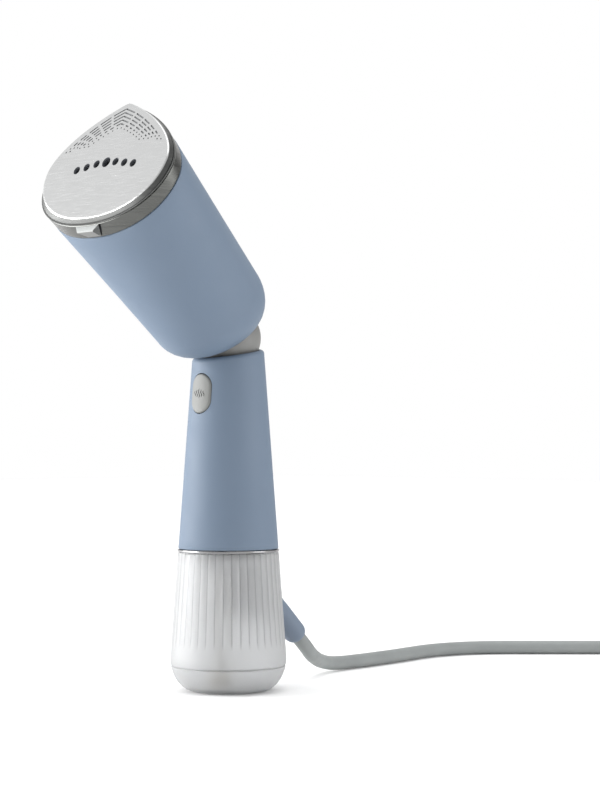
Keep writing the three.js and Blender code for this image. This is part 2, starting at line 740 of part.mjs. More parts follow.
function cordTie() {
  const middle = (COIL_RADII[0] + COIL_RADII.at(-1)) / 2;
  const halfWide = (COIL_RADII.at(-1) - COIL_RADII[0] + CORD_D) / 2 + 3 * GAP;
  const top = COIL_LAYERS * CORD_D + 0.1 + GAP;
  const strap = cut(
    block(-halfWide - 0.9, halfWide + 0.9, -4, 4, 0.02, top + 0.9),
    block(-halfWide, halfWide, -5, 5, -1, top),
  );
  return strap.translate(middle, 0, 0).rotate([0, 0, TIE_DEGREES]).translate(...COIL_CENTRE, 0);
}

// ---- Assembly ----
const steamer = new THREE.Group();
const head = new THREE.Group();
head.position.set(0, 0, PIVOT_Z);
head.rotation.x = turn(HEAD_TILT);
steamer.add(head);

addPiece(steamer, "tank_base", tankBase(), frosted);
addPiece(steamer, "tank_body", tankBody(), frosted);
addPiece(steamer, "tank_neck", tankNeck(), whitePlastic);

addPiece(steamer, "handle_shell", handleShell(), blue);
addPiece(steamer, "trim_ring", trimRing(), steel);
addPiece(steamer, "handle_chassis", handleChassis(), darkPlastic);
chassisCorners.forEach(([x, y], i) =>
  addPiece(steamer, `chassis_screw_${i + 1}`, screw(2.7, 69.4, 71, 82).translate(x, y, 0), steel),
);
addPiece(steamer, "neck_ball", neckBall(), grey);
addPiece(steamer, "hinge_pin_right", stubPin(1), steel);
addPiece(steamer, "hinge_pin_left", stubPin(-1), steel);
addPiece(steamer, "pump_body", pumpBody(), darkPlastic);
addPiece(steamer, "pump_clamp", pumpClamp(), steel);
addPiece(steamer, "control_board", block(-8, 8, -8.6, -7, 118, 156), circuit);
addPiece(steamer, "micro_switch", microSwitch(), darkPlastic);
addPiece(steamer, "inlet_spigot", inletSpigot(), whitePlastic);
addPiece(steamer, "tank_seal", tankSeal(), silicone);
addPiece(steamer, "dip_tube", dipTube(), silicone);
addPiece(steamer, "filter_weight", filterWeight(), brass);
addPiece(steamer, "water_hose_lower", lowerHose(), silicone);
addPiece(steamer, "trigger_button", triggerButton(), buttonGrey);

addPiece(head, "head_shell", headShell(), blue);
addPiece(head, "steel_band", steelBand(), steel);
addPiece(head, "steam_plate", steamPlate(), brightPlate);
addPiece(head, "attachment_catch", attachmentCatch(), grey);
addPiece(head, "plate_carrier", plateCarrier(), darkPlastic);
addPiece(head, "plate_gasket", plateGasket(), silicone);
addPiece(head, "head_bracket", headBracket(), darkPlastic);
addPiece(head, "heat_shield", heatShield(), aluminium);
screwPlaces.forEach(([x, y], i) =>
  addPiece(head, `bracket_screw_${i + 1}`, screw(2.7, 35.3, 37, 27).translate(x, y, 0), steel),
);
addPiece(head, "boiler_body", boilerBody(), aluminium);
addPiece(head, "boiler_cover", boilerCover(), aluminium);
boltPlaces.forEach(([x, y], i) =>
  addPiece(head, `boiler_screw_${i + 1}`, screw(2.6, 83.6, 85.3, 71).translate(x, y, 0), steel),
);
addPiece(head, "heating_element", bar(elementRun, 3, 14, 8), steel);
addPiece(head, "thermostat", thermostat(), steel);
addPiece(head, "thermal_fuse", thermalFuse(), whitePlastic);
addPiece(head, "water_hose_upper", upperHose(), silicone);

addPiece(steamer, "strain_relief", strainRelief(), deepBlue);
addPiece(steamer, "cord_tail", bar(tail, 2.8, 16, 8), cordGrey);
addPiece(steamer, "cord_grip", cordGrip(), darkPlastic);
addPiece(steamer, "power_cord", bar(CORD_ROUTE, CORD_D / 2, 40, 8), cordGrey);
addPiece(steamer, "cord_coil", cordCoil(), cordGrey);
addPiece(steamer, "cord_end", cordEnd(), cordGrey);
addPiece(steamer, "cord_tie", cordTie(), darkPlastic);
addPiece(steamer, "plug_relief", plugRelief(), cordGrey);
addPiece(steamer, "plug_body", plugBody(), cordGrey);
addPiece(steamer, "plug_pin_1", plugPin(1), steel);
addPiece(steamer, "plug_pin_2", plugPin(-1), steel);

export default steamer;
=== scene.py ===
import json
import math

import bmesh
import bpy
from mathutils import Matrix, Vector


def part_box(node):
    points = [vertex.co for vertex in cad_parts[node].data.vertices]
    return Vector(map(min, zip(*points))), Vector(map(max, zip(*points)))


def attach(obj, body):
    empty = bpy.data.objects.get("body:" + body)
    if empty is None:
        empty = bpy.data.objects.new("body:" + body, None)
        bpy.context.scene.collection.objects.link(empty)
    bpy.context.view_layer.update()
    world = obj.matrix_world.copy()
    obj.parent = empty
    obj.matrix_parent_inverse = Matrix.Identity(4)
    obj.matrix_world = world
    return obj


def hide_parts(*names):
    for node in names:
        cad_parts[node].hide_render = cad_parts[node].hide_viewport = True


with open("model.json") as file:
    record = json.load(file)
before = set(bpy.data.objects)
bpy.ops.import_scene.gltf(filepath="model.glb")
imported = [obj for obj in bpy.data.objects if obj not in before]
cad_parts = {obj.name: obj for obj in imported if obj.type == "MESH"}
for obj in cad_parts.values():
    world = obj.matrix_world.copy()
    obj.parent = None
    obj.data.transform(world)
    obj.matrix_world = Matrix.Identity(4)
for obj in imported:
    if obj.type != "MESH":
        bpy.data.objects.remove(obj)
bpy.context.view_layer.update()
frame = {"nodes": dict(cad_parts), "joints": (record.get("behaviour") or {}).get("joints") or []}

MM = 0.001
nodes = frame["nodes"]
joints = {joint["name"]: joint for joint in frame["joints"]}


def box_mm(node):
    """A CAD node's lowest and highest corners in millimetres."""
    low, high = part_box(node)
    return low / MM, high / MM


# ---------------- camera
CAMERA_AZIMUTH = math.radians(44.2)
CAMERA_DISTANCE = 1050
CAMERA_SIDE = 35.75  # the object stands left of the picture's middle
CAMERA_HEIGHT = 127
to_right = Vector((math.cos(CAMERA_AZIMUTH), math.sin(CAMERA_AZIMUTH), 0))
away = Vector((-math.sin(CAMERA_AZIMUTH), math.cos(CAMERA_AZIMUTH), 0))
up = Vector((0, 0, 1))

camera = bpy.data.objects.new("camera", bpy.data.cameras.new("camera"))
bpy.context.scene.collection.objects.link(camera)
camera.location = (to_right * CAMERA_SIDE - away * CAMERA_DISTANCE + up * CAMERA_HEIGHT) * MM
camera.rotation_euler = (math.radians(90), 0, CAMERA_AZIMUTH)
camera.data.lens = 94.5
camera.data.shift_y = 0.045
camera.data.clip_start = 0.02
bpy.context.scene.camera = camera

# ---------------- driving sizes, nearly all as in the CAD source
BODY_R = 29
BODY_R_Z = 16.5
BODY_TAPER = 0.0733
BASE_FLAT_R = 17
SEAM_Z = box_mm("tank_base")[1].z
TANK_TOP = box_mm("tank_body")[1].z
TANK_WALL = 1.8
FLUTES = 40
FLUTE_DEPTH = 0.55
FLUTE_FOOT_Z = 19.5
HANDLE_BOTTOM = 70.8
HANDLE_WALL = 2.2
RIM_Z = 168.3
RIM_SLOPE = 0.165
LIP = 2.1
SPINE_HALF = 9.2
SPINE_Y = 13
SPINE_Z = box_mm("handle_shell")[0].z
MOUTH_Y = -5

PIVOT_Z = joints["head_tilt"]["pos_m"][2] / MM
BALL_R = 16.2
HEAD_TILT = math.radians(45.8)
HEAD_LENGTH = 112.9
PLATE_SLANT = 0.335
REAR_Z = -3.2
REAR_DEPTH = 24.9
REAR_MIDDLE = 0.3
REAR_SHIFT = 12.3
REAR_HALF = (29.4, 30.1)
PLATE_HALF = 46
PLATE_UP = 39.4
PLATE_DOWN = 29.8
PLATE_WIDEST = -2.1
PLATE_DEPTH = 3.9
BAND_END = 10.6
JOINT_LEAN = 0.095
BAND_LEAN = 0.04
SHELL_WALL = 2.2
CATCH_X = 2
SPINE_PLAY = 0.7
GAP = 0.3
FACE_COS = 1 / math.hypot(1, PLATE_SLANT)
PLATE_HALF_HEIGHT = (PLATE_UP + PLATE_DOWN) / 2 * FACE_COS
PLATE_MIDDLE = (PLATE_WIDEST + (PLATE_UP - PLATE_DOWN) / 2) * FACE_COS
DOME_END = REAR_Z + REAR_DEPTH

BUTTON_Z = 148
BUTTON_SIZE = (13, 19.5)

CORD_D = 7.5
RELIEF_END = Vector((0, 49.4, 23.6))
RELIEF_DIR = Vector((0, 0.7195, -0.6945)).normalized()
RELIEF_R = 5.9
COIL_CENTRE = (42.3, 347.9)
COIL_RADII = (45, 37.5, 30)
TIE_DEGREES = 262
PLUG_LINE = (30, 80)
PLUG_Z = 24
PLUG_RELIEF_START = -15
PLUG_BODY_START = 7
PLUG_BODY_END = 43
PIN_END = 62
PIN_SPREAD = 9.5

# Where the cord lies between the strain relief and the coil, in metres.
CORD_ROUTE = [
    (0, 0.0496, 0.0234),
    (0, 0.0552, 0.018),
    (-0.003, 0.0625, 0.0132),
    (-0.0085, 0.072, 0.0098),
    (-0.0145, 0.082, 0.0072),
    (-0.019, 0.093, 0.005),
    (-0.0212, 0.104, 0.004),
    (-0.022, 0.117, 0.0038),
    (-0.023, 0.133, 0.0038),
    (-0.025, 0.152, 0.0038),
    (-0.0278, 0.170, 0.0038),
    (-0.0296, 0.183, 0.0038),
    (-0.0293, 0.196, 0.0038),
    (-0.026, 0.2105, 0.0038),
    (-0.020, 0.2227, 0.0038),
    (-0.0113, 0.2332, 0.0038),
    (0.0035, 0.2475, 0.0038),
    (0.0214, 0.2649, 0.0038),
    (0.0372, 0.2802, 0.0038),
    (0.0543, 0.2968, 0.0038),
]


# ---------------- materials
class Nodes:
    """Short ways to add nodes to a tree."""

    def __init__(self, tree):
        self.tree = tree

    def node(self, kind, **settings):
        made = self.tree.nodes.new(kind)
        for key, value in settings.items():
            setattr(made, key, value)
        return made

    def link(self, start, end):
        self.tree.links.new(start, end)

    def range(self, value, low, high, start=0.3, end=0.7, **settings):
        """Maps a value between start and end to low and high."""
        made = self.node("ShaderNodeMapRange", **settings)
        for socket, number in (("From Min", start), ("From Max", end), ("To Min", low), ("To Max", high)):
            made.inputs[socket].default_value = number
        self.link(value, made.inputs["Value"])
        return made.outputs["Result"]

    def math(self, operation, *values):
        made = self.node("ShaderNodeMath", operation=operation)
        for socket, value in zip(made.inputs, values):
            if isinstance(value, (int, float)):
                socket.default_value = value
            else:
                self.link(value, socket)
        return made.outputs["Value"]


class Paint(Nodes):
    """One node material: a Principled surface whose colour, gloss and relief come from procedural nodes."""

    def __init__(self, name, color, roughness, metallic=0.0, **settings):
        self.material = bpy.data.materials.new(name)
        self.material.use_nodes = True
        super().__init__(self.material.node_tree)
        self.shader = self.tree.nodes["Principled BSDF"]
        self.set("Base Color", (*color, 1))
        self.set("Roughness", roughness)
        self.set("Metallic", metallic)
        for key, value in settings.items():
            self.set(key.replace("_", " "), value)
        self.color = color
        self.roughness = roughness
        self.coordinates = self.node("ShaderNodeTexCoord").outputs["Object"]

    def set(self, socket, value):
        self.shader.inputs[socket].default_value = value

    def mapped(self, scale=(1, 1, 1), rotation=(0, 0, 0)):
        """The piece's own coordinates, turned and stretched."""
        mapping = self.node("ShaderNodeMapping")
        mapping.inputs["Scale"].default_value = scale
        mapping.inputs["Rotation"].default_value = rotation
        self.link(self.coordinates, mapping.inputs["Vector"])
        return mapping.outputs["Vector"]

    def noise(self, scale, detail=3, vector=None):
        made = self.node("ShaderNodeTexNoise")
        made.inputs["Scale"].default_value = scale
        made.inputs["Detail"].default_value = detail
        self.link(vector or self.coordinates, made.inputs["Vector"])
        return made.outputs["Fac"]

    def vary_color(self, value, amount):
        """Lightens and darkens the colour by a share, following a value from 0 to 1."""
        mix = self.node("ShaderNodeMix", data_type="RGBA")
        mix.inputs["A"].default_value = (*[c * (1 - amount) for c in self.color], 1)
        mix.inputs["B"].default_value = (*[min(c * (1 + amount), 1) for c in self.color], 1)
        self.link(self.range(value, 0, 1), mix.inputs["Factor"])
        self.link(mix.outputs["Result"], self.shader.inputs["Base Color"])
        return self

    def vary_roughness(self, value, amount):
        low, high = self.roughness - amount, self.roughness + amount
        self.link(self.range(value, low, high), self.shader.inputs["Roughness"])
        return self

    def bump(self, value, height, strength=1.0):
        """Relief of a real height in metres."""
        made = self.node("ShaderNodeBump")
        made.inputs["Strength"].default_value = strength
        made.inputs["Distance"].default_value = height
        self.link(value, made.inputs["Height"])
        self.link(made.outputs["Normal"], self.shader.inputs["Normal"])
        return self


def moulded(name, color, roughness=0.45, grain=2200, height=0.00003, tone=0.03, **settings):
    """Injection-moulded plastic: fine spark-eroded grain, slow tone drift and slightly uneven gloss."""
    paint = Paint(name, color, roughness, **settings)
    paint.vary_color(paint.noise(9, 4), tone)
    paint.vary_roughness(paint.noise(60, 5), 0.05)
    paint.bump(paint.noise(grain, 2), height)
    return paint.material


def brushed(name, color, roughness, stretch, rotation=(0, 0, 0), tone=0.12, height=0.00001, **settings):
    """Metal with fine parallel brush lines, drawn out along one axis."""
    paint = Paint(name, color, roughness, 1.0, **settings)
    lines = paint.noise(700, 3, paint.mapped(stretch, rotation))
    paint.vary_color(lines, tone)
    paint.vary_roughness(lines, 0.08)
    paint.bump(lines, height)
    return paint.material


def cast_metal(name, color, roughness=0.5):
    """Die-cast aluminium: mottled tone and a sandy skin."""
    paint = Paint(name, color, roughness, 1.0)
    paint.vary_color(paint.noise(120, 6), 0.1)
    paint.vary_roughness(paint.noise(300, 4), 0.1)
    paint.bump(paint.noise(900, 4), 0.00008)
    return paint.material


def rubber(name, color, roughness=0.7):
    paint = Paint(name, color, roughness)
    paint.vary_color(paint.noise(80, 5), 0.06)
    paint.vary_roughness(paint.noise(200, 4), 0.08)
    paint.bump(paint.noise(1500, 3), 0.00004)
    return paint.material


def frosted_tank(name):
    """Satin translucent polypropylene: milky, softly glossy, with painted shade that darkens the valleys
    between the flutes.
    """
    paint = Paint(name, (0.665, 0.67, 0.675), 0.42, Transmission_Weight=0.8, IOR=1.45)
    place = paint.node("ShaderNodeSeparateXYZ")
    paint.link(paint.coordinates, place.inputs["Vector"])
    angle = paint.math("ARCTAN2", place.outputs["Y"], place.outputs["X"])
    wave = paint.math("ABSOLUTE", paint.math("COSINE", paint.math("MULTIPLY", angle, FLUTES / 2)))
    low, high = FLUTE_FOOT_Z * MM, (FLUTE_FOOT_Z + 10) * MM
    plain = paint.range(place.outputs["Z"], 1, 0, low, high)
    # Painted shade: the colour is darker in the flute valleys and lighter on the ribs and on the plain wall
    # below them.
    painted_valley_shade = paint.math("MAXIMUM", paint.range(wave, 0.2, 1, 0, 0.5), plain)
    flow = paint.range(paint.noise(40, 4, paint.mapped((1, 1, 0.15))), 0.94, 1)
    paint.vary_color(paint.math("MULTIPLY", painted_valley_shade, flow), 0.2)
    paint.vary_roughness(paint.noise(150, 3), 0.05)
    paint.bump(paint.noise(400, 2), 0.000008)
    return paint.material


def circuit_board(name):
    """Green solder mask with a faint glass weave under it."""
    paint = Paint(name, (0.03, 0.16, 0.07), 0.35)
    weave = paint.node("ShaderNodeTexChecker")
    weave.inputs["Scale"].default_value = 1500
    paint.link(paint.coordinates, weave.inputs["Vector"])
    paint.vary_color(weave.outputs["Fac"], 0.12)
    paint.bump(weave.outputs["Fac"], 0.00003)
    return paint.material


TILTED = (-HEAD_TILT, 0, 0)
paints = {
    "blue": moulded("blue_shell", (0.134, 0.181, 0.248), 0.62),
    "deep_blue": moulded("deep_blue_rubber", (0.145, 0.185, 0.245), 0.5),
    # The neck's grey also paints shade on the catch's ramp.
    "grey": moulded("neck_grey", (0.185, 0.185, 0.178), 0.5),
    "button": moulded("button_grey", (0.205, 0.21, 0.202), 0.55),
    # The steam sign's dark grey also paints shade on the catch's flanks.
    "icon_and_flank_shade": moulded("icon_grey_and_flank_shade", (0.10, 0.103, 0.10), 0.5),
    "catch": moulded("catch_grey", (0.36, 0.375, 0.37), 0.4),
    "frosted": frosted_tank("frosted_tank"),
    "white": moulded("white_plastic", (0.68, 0.69, 0.70), 0.4),
    # The dark plastic colour also paints shade in the steel band's recess.
    "dark": moulded("dark_plastic", (0.045, 0.047, 0.052), 0.5),
    "band": brushed("brushed_band", (0.115, 0.117, 0.112), 0.3, (0.06, 0.06, 1.6), TILTED),
    "plate": brushed("plate_face", (0.62, 0.625, 0.625), 0.22, (0.15, 3, 3), TILTED, 0.006, 0.00000015),
    # Painted shade: the slits' walls and floors are coloured darker than the plate.
    "slit": moulded("slit_painted_shade", (0.20, 0.205, 0.21), 0.5),
    # Painted shade: the steam holes' walls are coloured dark.
    "hole": moulded("hole_painted_shade", (0.075, 0.08, 0.09), 0.5),
    "trim": brushed("trim_steel", (0.30, 0.30, 0.305), 0.25, (0.05, 0.05, 1.5)),
    "steel": brushed("steel_fastener", (0.56, 0.57, 0.58), 0.3, (1, 1, 0.1)),
    "aluminium": cast_metal("cast_aluminium", (0.60, 0.61, 0.62)),
    "brass": cast_metal("sintered_brass", (0.50, 0.44, 0.32), 0.4),
    "silicone": rubber("silicone", (0.55, 0.53, 0.49)),
    "cord": rubber("cord_sheath", (0.235, 0.25, 0.248), 0.5),
    "side": brushed("plate_side", (0.105, 0.107, 0.105), 0.42, (0.1, 0.1, 1.5), TILTED, tone=0.05),
    "strap": rubber("tie_strap", (0.05, 0.052, 0.056), 0.8),
    "circuit": circuit_board("circuit_board"),
}


# ---------------- mesh code
def skin(rings, closed=False):
    """Faces between rings of points in order. A ring of one point is a pole; open ends are capped."""
    points, faces, starts = [], [], []
    for ring in rings:
        starts.append(len(points))
        points += ring
    steps = len(rings) if closed else len(rings) - 1
    for i in range(steps):
        j = (i + 1) % len(rings)
        count = max(len(rings[i]), len(rings[j]))
        for k in range(count):
            a = starts[i] + k % len(rings[i])
            b = starts[i] + (k + 1) % len(rings[i])
            c = starts[j] + (k + 1) % len(rings[j])
            d = starts[j] + k % len(rings[j])
            corners = list(dict.fromkeys((a, b, c, d)))
            faces.append(corners)
    if not closed:
        for end, start in ((rings[0], starts[0]), (rings[-1], starts[-1])):
            if len(end) > 1:
                faces.append([start + k for k in range(len(end))])
    return points, faces


def build(name, rings, closed=False, matrix=None):
    """A closed mesh object, in metres, from rings in millimetres."""
    points, faces = skin(rings, closed)
    if matrix:
        points = [matrix @ Vector(p) for p in points]
    mesh = bpy.data.meshes.new(name)
    mesh.from_pydata([Vector(p) * MM for p in points], [], faces)
    shape = bmesh.new()
    shape.from_mesh(mesh)
    bmesh.ops.remove_doubles(shape, verts=shape.verts, dist=1e-7)
    bmesh.ops.recalc_face_normals(shape, faces=shape.faces)
    shape.to_mesh(mesh)
    shape.free()
    return placed(name, mesh)


def placed(name, data):
    made = bpy.data.objects.new(name, data)
    bpy.context.scene.collection.objects.link(made)
    return made


def merged(name, objects):
    """Several separate solids as one object."""
    shape = bmesh.new()
    for one in objects:
        shape.from_mesh(one.data)
    mesh = bpy.data.meshes.new(name)
    shape.to_mesh(mesh)
    shape.free()
    made = placed(name, mesh)
    for material in objects[0].data.materials:
        mesh.materials.append(material)
    for one in objects:
        bpy.data.objects.remove(one)
    return made


def combine(target, operation, *others):
    """Cuts from, or joins to, a mesh for good. A cutter's own material colours the faces that it leaves."""
    for other in others:
        step = target.modifiers.new("step", "BOOLEAN")
        step.object = other
        step.operation = operation
        step.solver = "EXACT"
        step.material_mode = "TRANSFER"
    graph = bpy.context.evaluated_depsgraph_get()
    graph.update()
    result = bpy.data.meshes.new_from_object(target.evaluated_get(graph))
    target.modifiers.clear()
    target.data = result
    for other in others:
        bpy.data.objects.remove(other)
    return target


def painted(target, paint):
    target.data.materials.clear()
    target.data.materials.append(paints[paint])
    return target


def finished(target, body, slot, *stands_for, sharp=32):
    """Smooth shading that keeps real edges, and the piece's place among the CAD bodies."""
    if target.type == "MESH":
        for face in target.data.polygons:
            face.use_smooth = True
        target.data.set_sharp_from_angle(angle=math.radians(sharp))
    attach(target, body)
    if stands_for:
        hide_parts(*stands_for)
    return target


def circle(r, z, sides, x=0, y=0):
    return [Vector((x + r * math.cos(t), y + r * math.sin(t), z)) for t in turns(sides)]


def turns(count):
    return [2 * math.pi * k / count for k in range(count)]


def ball_arc(r, step):
    """The profile of a ball round the origin, from its lowest point to its highest."""
    angles = [math.radians(t) for t in range(step, 180, step)]
    return [(0, -r), *[(r * math.sin(t), -r * math.cos(t)) for t in angles], (0, r)]


def lathe(name, profile, sides=64, x=0, y=0, closed=False, matrix=None):
    """A solid of revolution about an upright axis from (radius, height) pairs."""
    rings = [circle(r, z, sides, x, y) if r > 0 else [Vector((x, y, z))] for r, z in profile]
    return build(name, rings, closed, matrix)


def rounded(profile, radius, steps=4):
    """A profile of (radius, height) pairs with its inner corners rounded off."""
    out = [profile[0]]
    for before, corner, after in zip(profile, profile[1:], profile[2:]):
        a, b, c = Vector(before), Vector(corner), Vector(after)
        size = min(radius, (a - b).length * 0.45, (c - b).length * 0.45)
        start, end = b + (a - b).normalized() * size, b + (c - b).normalized() * size
        for i in range(steps + 1):
            t = i / steps
            out.append(tuple(start.lerp(b, t).lerp(b.lerp(end, t), t)))
    return out + [profile[-1]]


def pointing(origin, direction):
    """Turns a shape's own +Z to point along a direction, from an origin."""
    return Matrix.Translation(origin) @ Vector(direction).to_track_quat("Z", "Y").to_matrix().to_4x4()


def smooth_path(points, step):
    """Points closely spaced on a centripetal Catmull-Rom curve through the given ones."""
    given = [Vector(p) for p in points]
    given = [given[0] * 2 - given[1], *given, given[-1] * 2 - given[-2]]
    out = []
    for p0, p1, p2, p3 in zip(given, given[1:], given[2:], given[3:]):
        t1 = (p1 - p0).length ** 0.5
        t2 = t1 + (p2 - p1).length ** 0.5
        t3 = t2 + (p3 - p2).length ** 0.5
        count = max(1, round((p2 - p1).length / step))
        for i in range(count):
            t = t1 + (t2 - t1) * i / count
            a1 = p0.lerp(p1, t / t1)
            a2 = p1.lerp(p2, (t - t1) / (t2 - t1))
            a3 = p2.lerp(p3, (t - t2) / (t3 - t2))
            b1 = a1.lerp(a2, t / t2)
            b2 = a2.lerp(a3, (t - t1) / (t3 - t1))
            out.append(b1.lerp(b2, (t - t1) / (t2 - t1)))
    return out + [given[-2]]


# ---------------- cord, tie and plug
def coil_point(radius, degrees, z):
    angle = math.radians(degrees)
    return Vector((COIL_CENTRE[0] + radius * math.cos(angle), COIL_CENTRE[1] + radius * math.sin(angle), z))


def plug_point(s):
    """A point s past the foot of the plug's line, which lies on top of the coil."""
    distance, degrees = PLUG_LINE
    angle = math.radians(degrees)
    return coil_point(distance, degrees, PLUG_Z) + Vector((-math.sin(angle), math.cos(angle), 0)) * s


def ease(value, start, end):
    t = min(max((value - start) / (end - start), 0), 1)
    return t * t * (3 - 2 * t)


COIL_START = -45.8  # where the cord meets the coil's outer turn, in degrees
COIL_STEP_IN = ((300, 360), (660, 720))
COIL_CLIMB = (960, 1020)
COIL_STEP_OUT = ((1260, 1320), (1620, 1680))
COIL_LAST = 1750


def coil_path():
    """The wound turns: inwards on the floor, up one diameter, and outwards again on top."""
    outer, middle, inner = COIL_RADII
    points = []
    for degrees in range(6, COIL_LAST, 6):
        radius = outer - sum((outer - middle) * ease(degrees, *window) for window in COIL_STEP_IN)
        radius += sum((middle - inner) * ease(degrees, *window) for window in COIL_STEP_OUT)
        z = CORD_D / 2 + 0.05 + CORD_D * ease(degrees, *COIL_CLIMB)
        points.append(coil_point(radius, COIL_START + degrees, z))
    return points


def power_cord():
    """The whole lead as one curve, from the strain relief to the plug's relief."""
    route = [Vector(p) / MM for p in CORD_ROUTE]
    climb = [
        coil_point(45, -82, 12.4),
        coil_point(45, -65, 14.8),
        coil_point(45, -46, 17.6),
        coil_point(45, -28, 20),
        coil_point(44.8, -10, 21.8),
        coil_point(43.6, 10, 23.2),
        coil_point(40.4, 29, 23.9),
        plug_point(-21),
        plug_point(PLUG_RELIEF_START + 1),
    ]
    line = smooth_path([*route, coil_point(45, COIL_START, CORD_D / 2 + 0.05), *coil_path(), *climb], 2.5)
    curve = bpy.data.curves.new("power_cord", "CURVE")
    curve.dimensions = "3D"
    curve.bevel_depth = CORD_D / 2 * MM
    curve.bevel_resolution = 6
    curve.use_fill_caps = True
    spline = curve.splines.new("POLY")
    spline.points.add(len(line) - 1)
    for place, point in zip(spline.points, line):
        place.co = (*(point * MM), 1)
    spline.use_smooth = True
    made = placed("mains_cord", curve)
    curve.materials.append(paints["cord"])
    length = sum((b - a).length for a, b in zip(line, line[1:])) * MM
    return made, length


def flat_section(half_wide, half_thick, s, count=48):
    """One ring of the plug's flat body, across its line."""
    angle = math.radians(PLUG_LINE[1])
    across = Vector((math.cos(angle), math.sin(angle), 0))
    ring = []
    for t in turns(count):
        side = half_wide * math.copysign(abs(math.cos(t)) ** 0.7, math.cos(t))
        rise = half_thick * math.copysign(abs(math.sin(t)) ** 0.7, math.sin(t))
        ring.append(plug_point(s) + across * side + up * rise)
    return ring


def plug_body():
    """A flat two-pin plug with pinched grip flanks and a soft nose."""
    stations = [(0, 6.0, 5.6), (0.6, 6.5, 6.0), (4, 8.8, 7.0), (8, 11.2, 7.6)]
    stations += [(12, 13.8, 8.0), (16, 15.5, 8.3)]
    for i in range(6):
        s = 18 + i * 2.4
        stations += [(s, 15.9, 8.3), (s + 0.8, 15.9, 8.3), (s + 1.2, 15.3, 8.1), (s + 2.0, 15.3, 8.1)]
    stations += [(32.6, 16.4, 8.3), (33.5, 17.5, 8.4), (34.6, 17.2, 8.1), (35.4, 16.5, 7.5), (36, 15.4, 6.6)]
    rings = [flat_section(wide, thick, PLUG_BODY_START + s) for s, wide, thick in stations]
    return painted(build("plug_shell", rings), "cord")


def plug_matrix(side=0.0):
    angle = math.radians(PLUG_LINE[1])
    across = Vector((math.cos(angle), math.sin(angle), 0))
    direction = Vector((-math.sin(angle), math.cos(angle), 0))
    return pointing(plug_point(0) + across * side, direction)


def plug_relief():
    """A ribbed sleeve where the cord enters the plug."""
    profile = [(0, PLUG_RELIEF_START), (4.2, PLUG_RELIEF_START)]
    for i in range(5):
        s = PLUG_RELIEF_START + 1 + i * 4
        r = 4.5 + i * 0.22
        profile += [(r, s), (r, s + 2.6), (r - 0.9, s + 3.0), (r - 0.9, s + 3.6)]
    profile += [(5.5, 5.2), (5.5, PLUG_BODY_START - GAP), (0, PLUG_BODY_START - GAP)]
    return painted(lathe("plug_sleeve", rounded(profile, 0.3, 2), 40, matrix=plug_matrix()), "cord")


def plug_pin(number, side):
    """A round contact pin, its root in an insulating sleeve."""
    start, end = PLUG_BODY_END + GAP, PIN_END
    sleeve = start + 9.5
    profile = [(0, start), (2.4, start), (2.4, sleeve), (2.15, sleeve + 0.3)]
    profile += [(2.15, end - 2), (1.3, end), (0, end)]
    place = plug_matrix(side)
    pin = painted(lathe(f"plug_contact_{number}", rounded(profile, 0.5), 32, matrix=place), "steel")
    pin.data.materials.append(paints["dark"])
    for face in pin.data.polygons:
        height = (place.inverted() @ (face.center / MM)).z
        face.material_index = 1 if height < sleeve + 0.2 else 0
    return pin


def tie_strap():
    """A hook-and-loop strap round the bundle, its free end lying on top."""
    middle = (COIL_RADII[0] + COIL_RADII[-1]) / 2
    half = (COIL_RADII[0] - COIL_RADII[-1] + CORD_D) / 2 + 0.9
    top = 2 * CORD_D + 0.4
    corner = 3.2
    thick, thick_below = 0.9, 0.05
    turn = Matrix.Translation((*COIL_CENTRE, 0)) @ Matrix.Rotation(math.radians(TIE_DEGREES), 4, "Z")
    rings = []
    for cx, cz, begin in (
        (half - corner, top - corner, 0),
        (corner - half, top - corner, 90),
        (corner - half, corner + 0.1, 180),
        (half - corner, corner + 0.1, 270),
    ):
        outer = thick if begin < 180 else thick_below
        for i in range(7):
            angle = math.radians(begin + 15 * i)
            ring = []
            for y, offset in ((-4, 0), (-3.7, outer), (3.7, outer), (4, 0)):
                x = cx + (corner + offset) * math.cos(angle)
                z = cz + (corner + offset) * math.sin(angle)
                ring.append(Vector((middle + x, y, max(z, 0.02))))
            rings.append(ring)
    strap = build("tie_loop", rings, closed=True, matrix=turn)
    end = []
    for share, low, high, wide in ((-0.55, 0.75, 1.45, 3.6), (0.45, 0.75, 1.5, 3.6), (0.7, 0.8, 1.3, 2.4)):
        x = middle + half * share
        below = [Vector((x, y, top + low)) for y in (-wide, wide)]
        above = [Vector((x, y, top + high)) for y in (wide - 0.2, 0.2 - wide)]
        end.append(below + above)
    flap = build("tie_flap", end, matrix=turn)
    return painted(combine(strap, "UNION", flap), "strap")


cord, cord_length = power_cord()
print("cord length", round(cord_length, 4))
finished(cord, "handle", "cord_grey", "power_cord", "cord_coil", "cord_end")
plug_pieces = [
    finished(plug_body(), "handle", "cord_grey", "plug_body"),
    finished(plug_relief(), "handle", "cord_grey", "plug_relief"),
    finished(plug_pin(1, PIN_SPREAD), "handle", "steel", "plug_pin_1"),
    finished(plug_pin(2, -PIN_SPREAD), "handle", "steel", "plug_pin_2"),
]
tie = finished(tie_strap(), "handle", "dark_plastic", "cord_tie")


# ---------------- outlines shared by handle, tank and head
def body_radius(z):
    """Radius of the one long cone that tank and handle share, rounded in below its widest line."""
    if z >= BODY_R_Z:
        return BODY_R - BODY_TAPER * (z - BODY_R_Z)
    drop = (BODY_R_Z - z) / BODY_R_Z
    return BODY_R - (BODY_R - BASE_FLAT_R) * (1 - math.sqrt(max(0, 1 - drop * drop)))


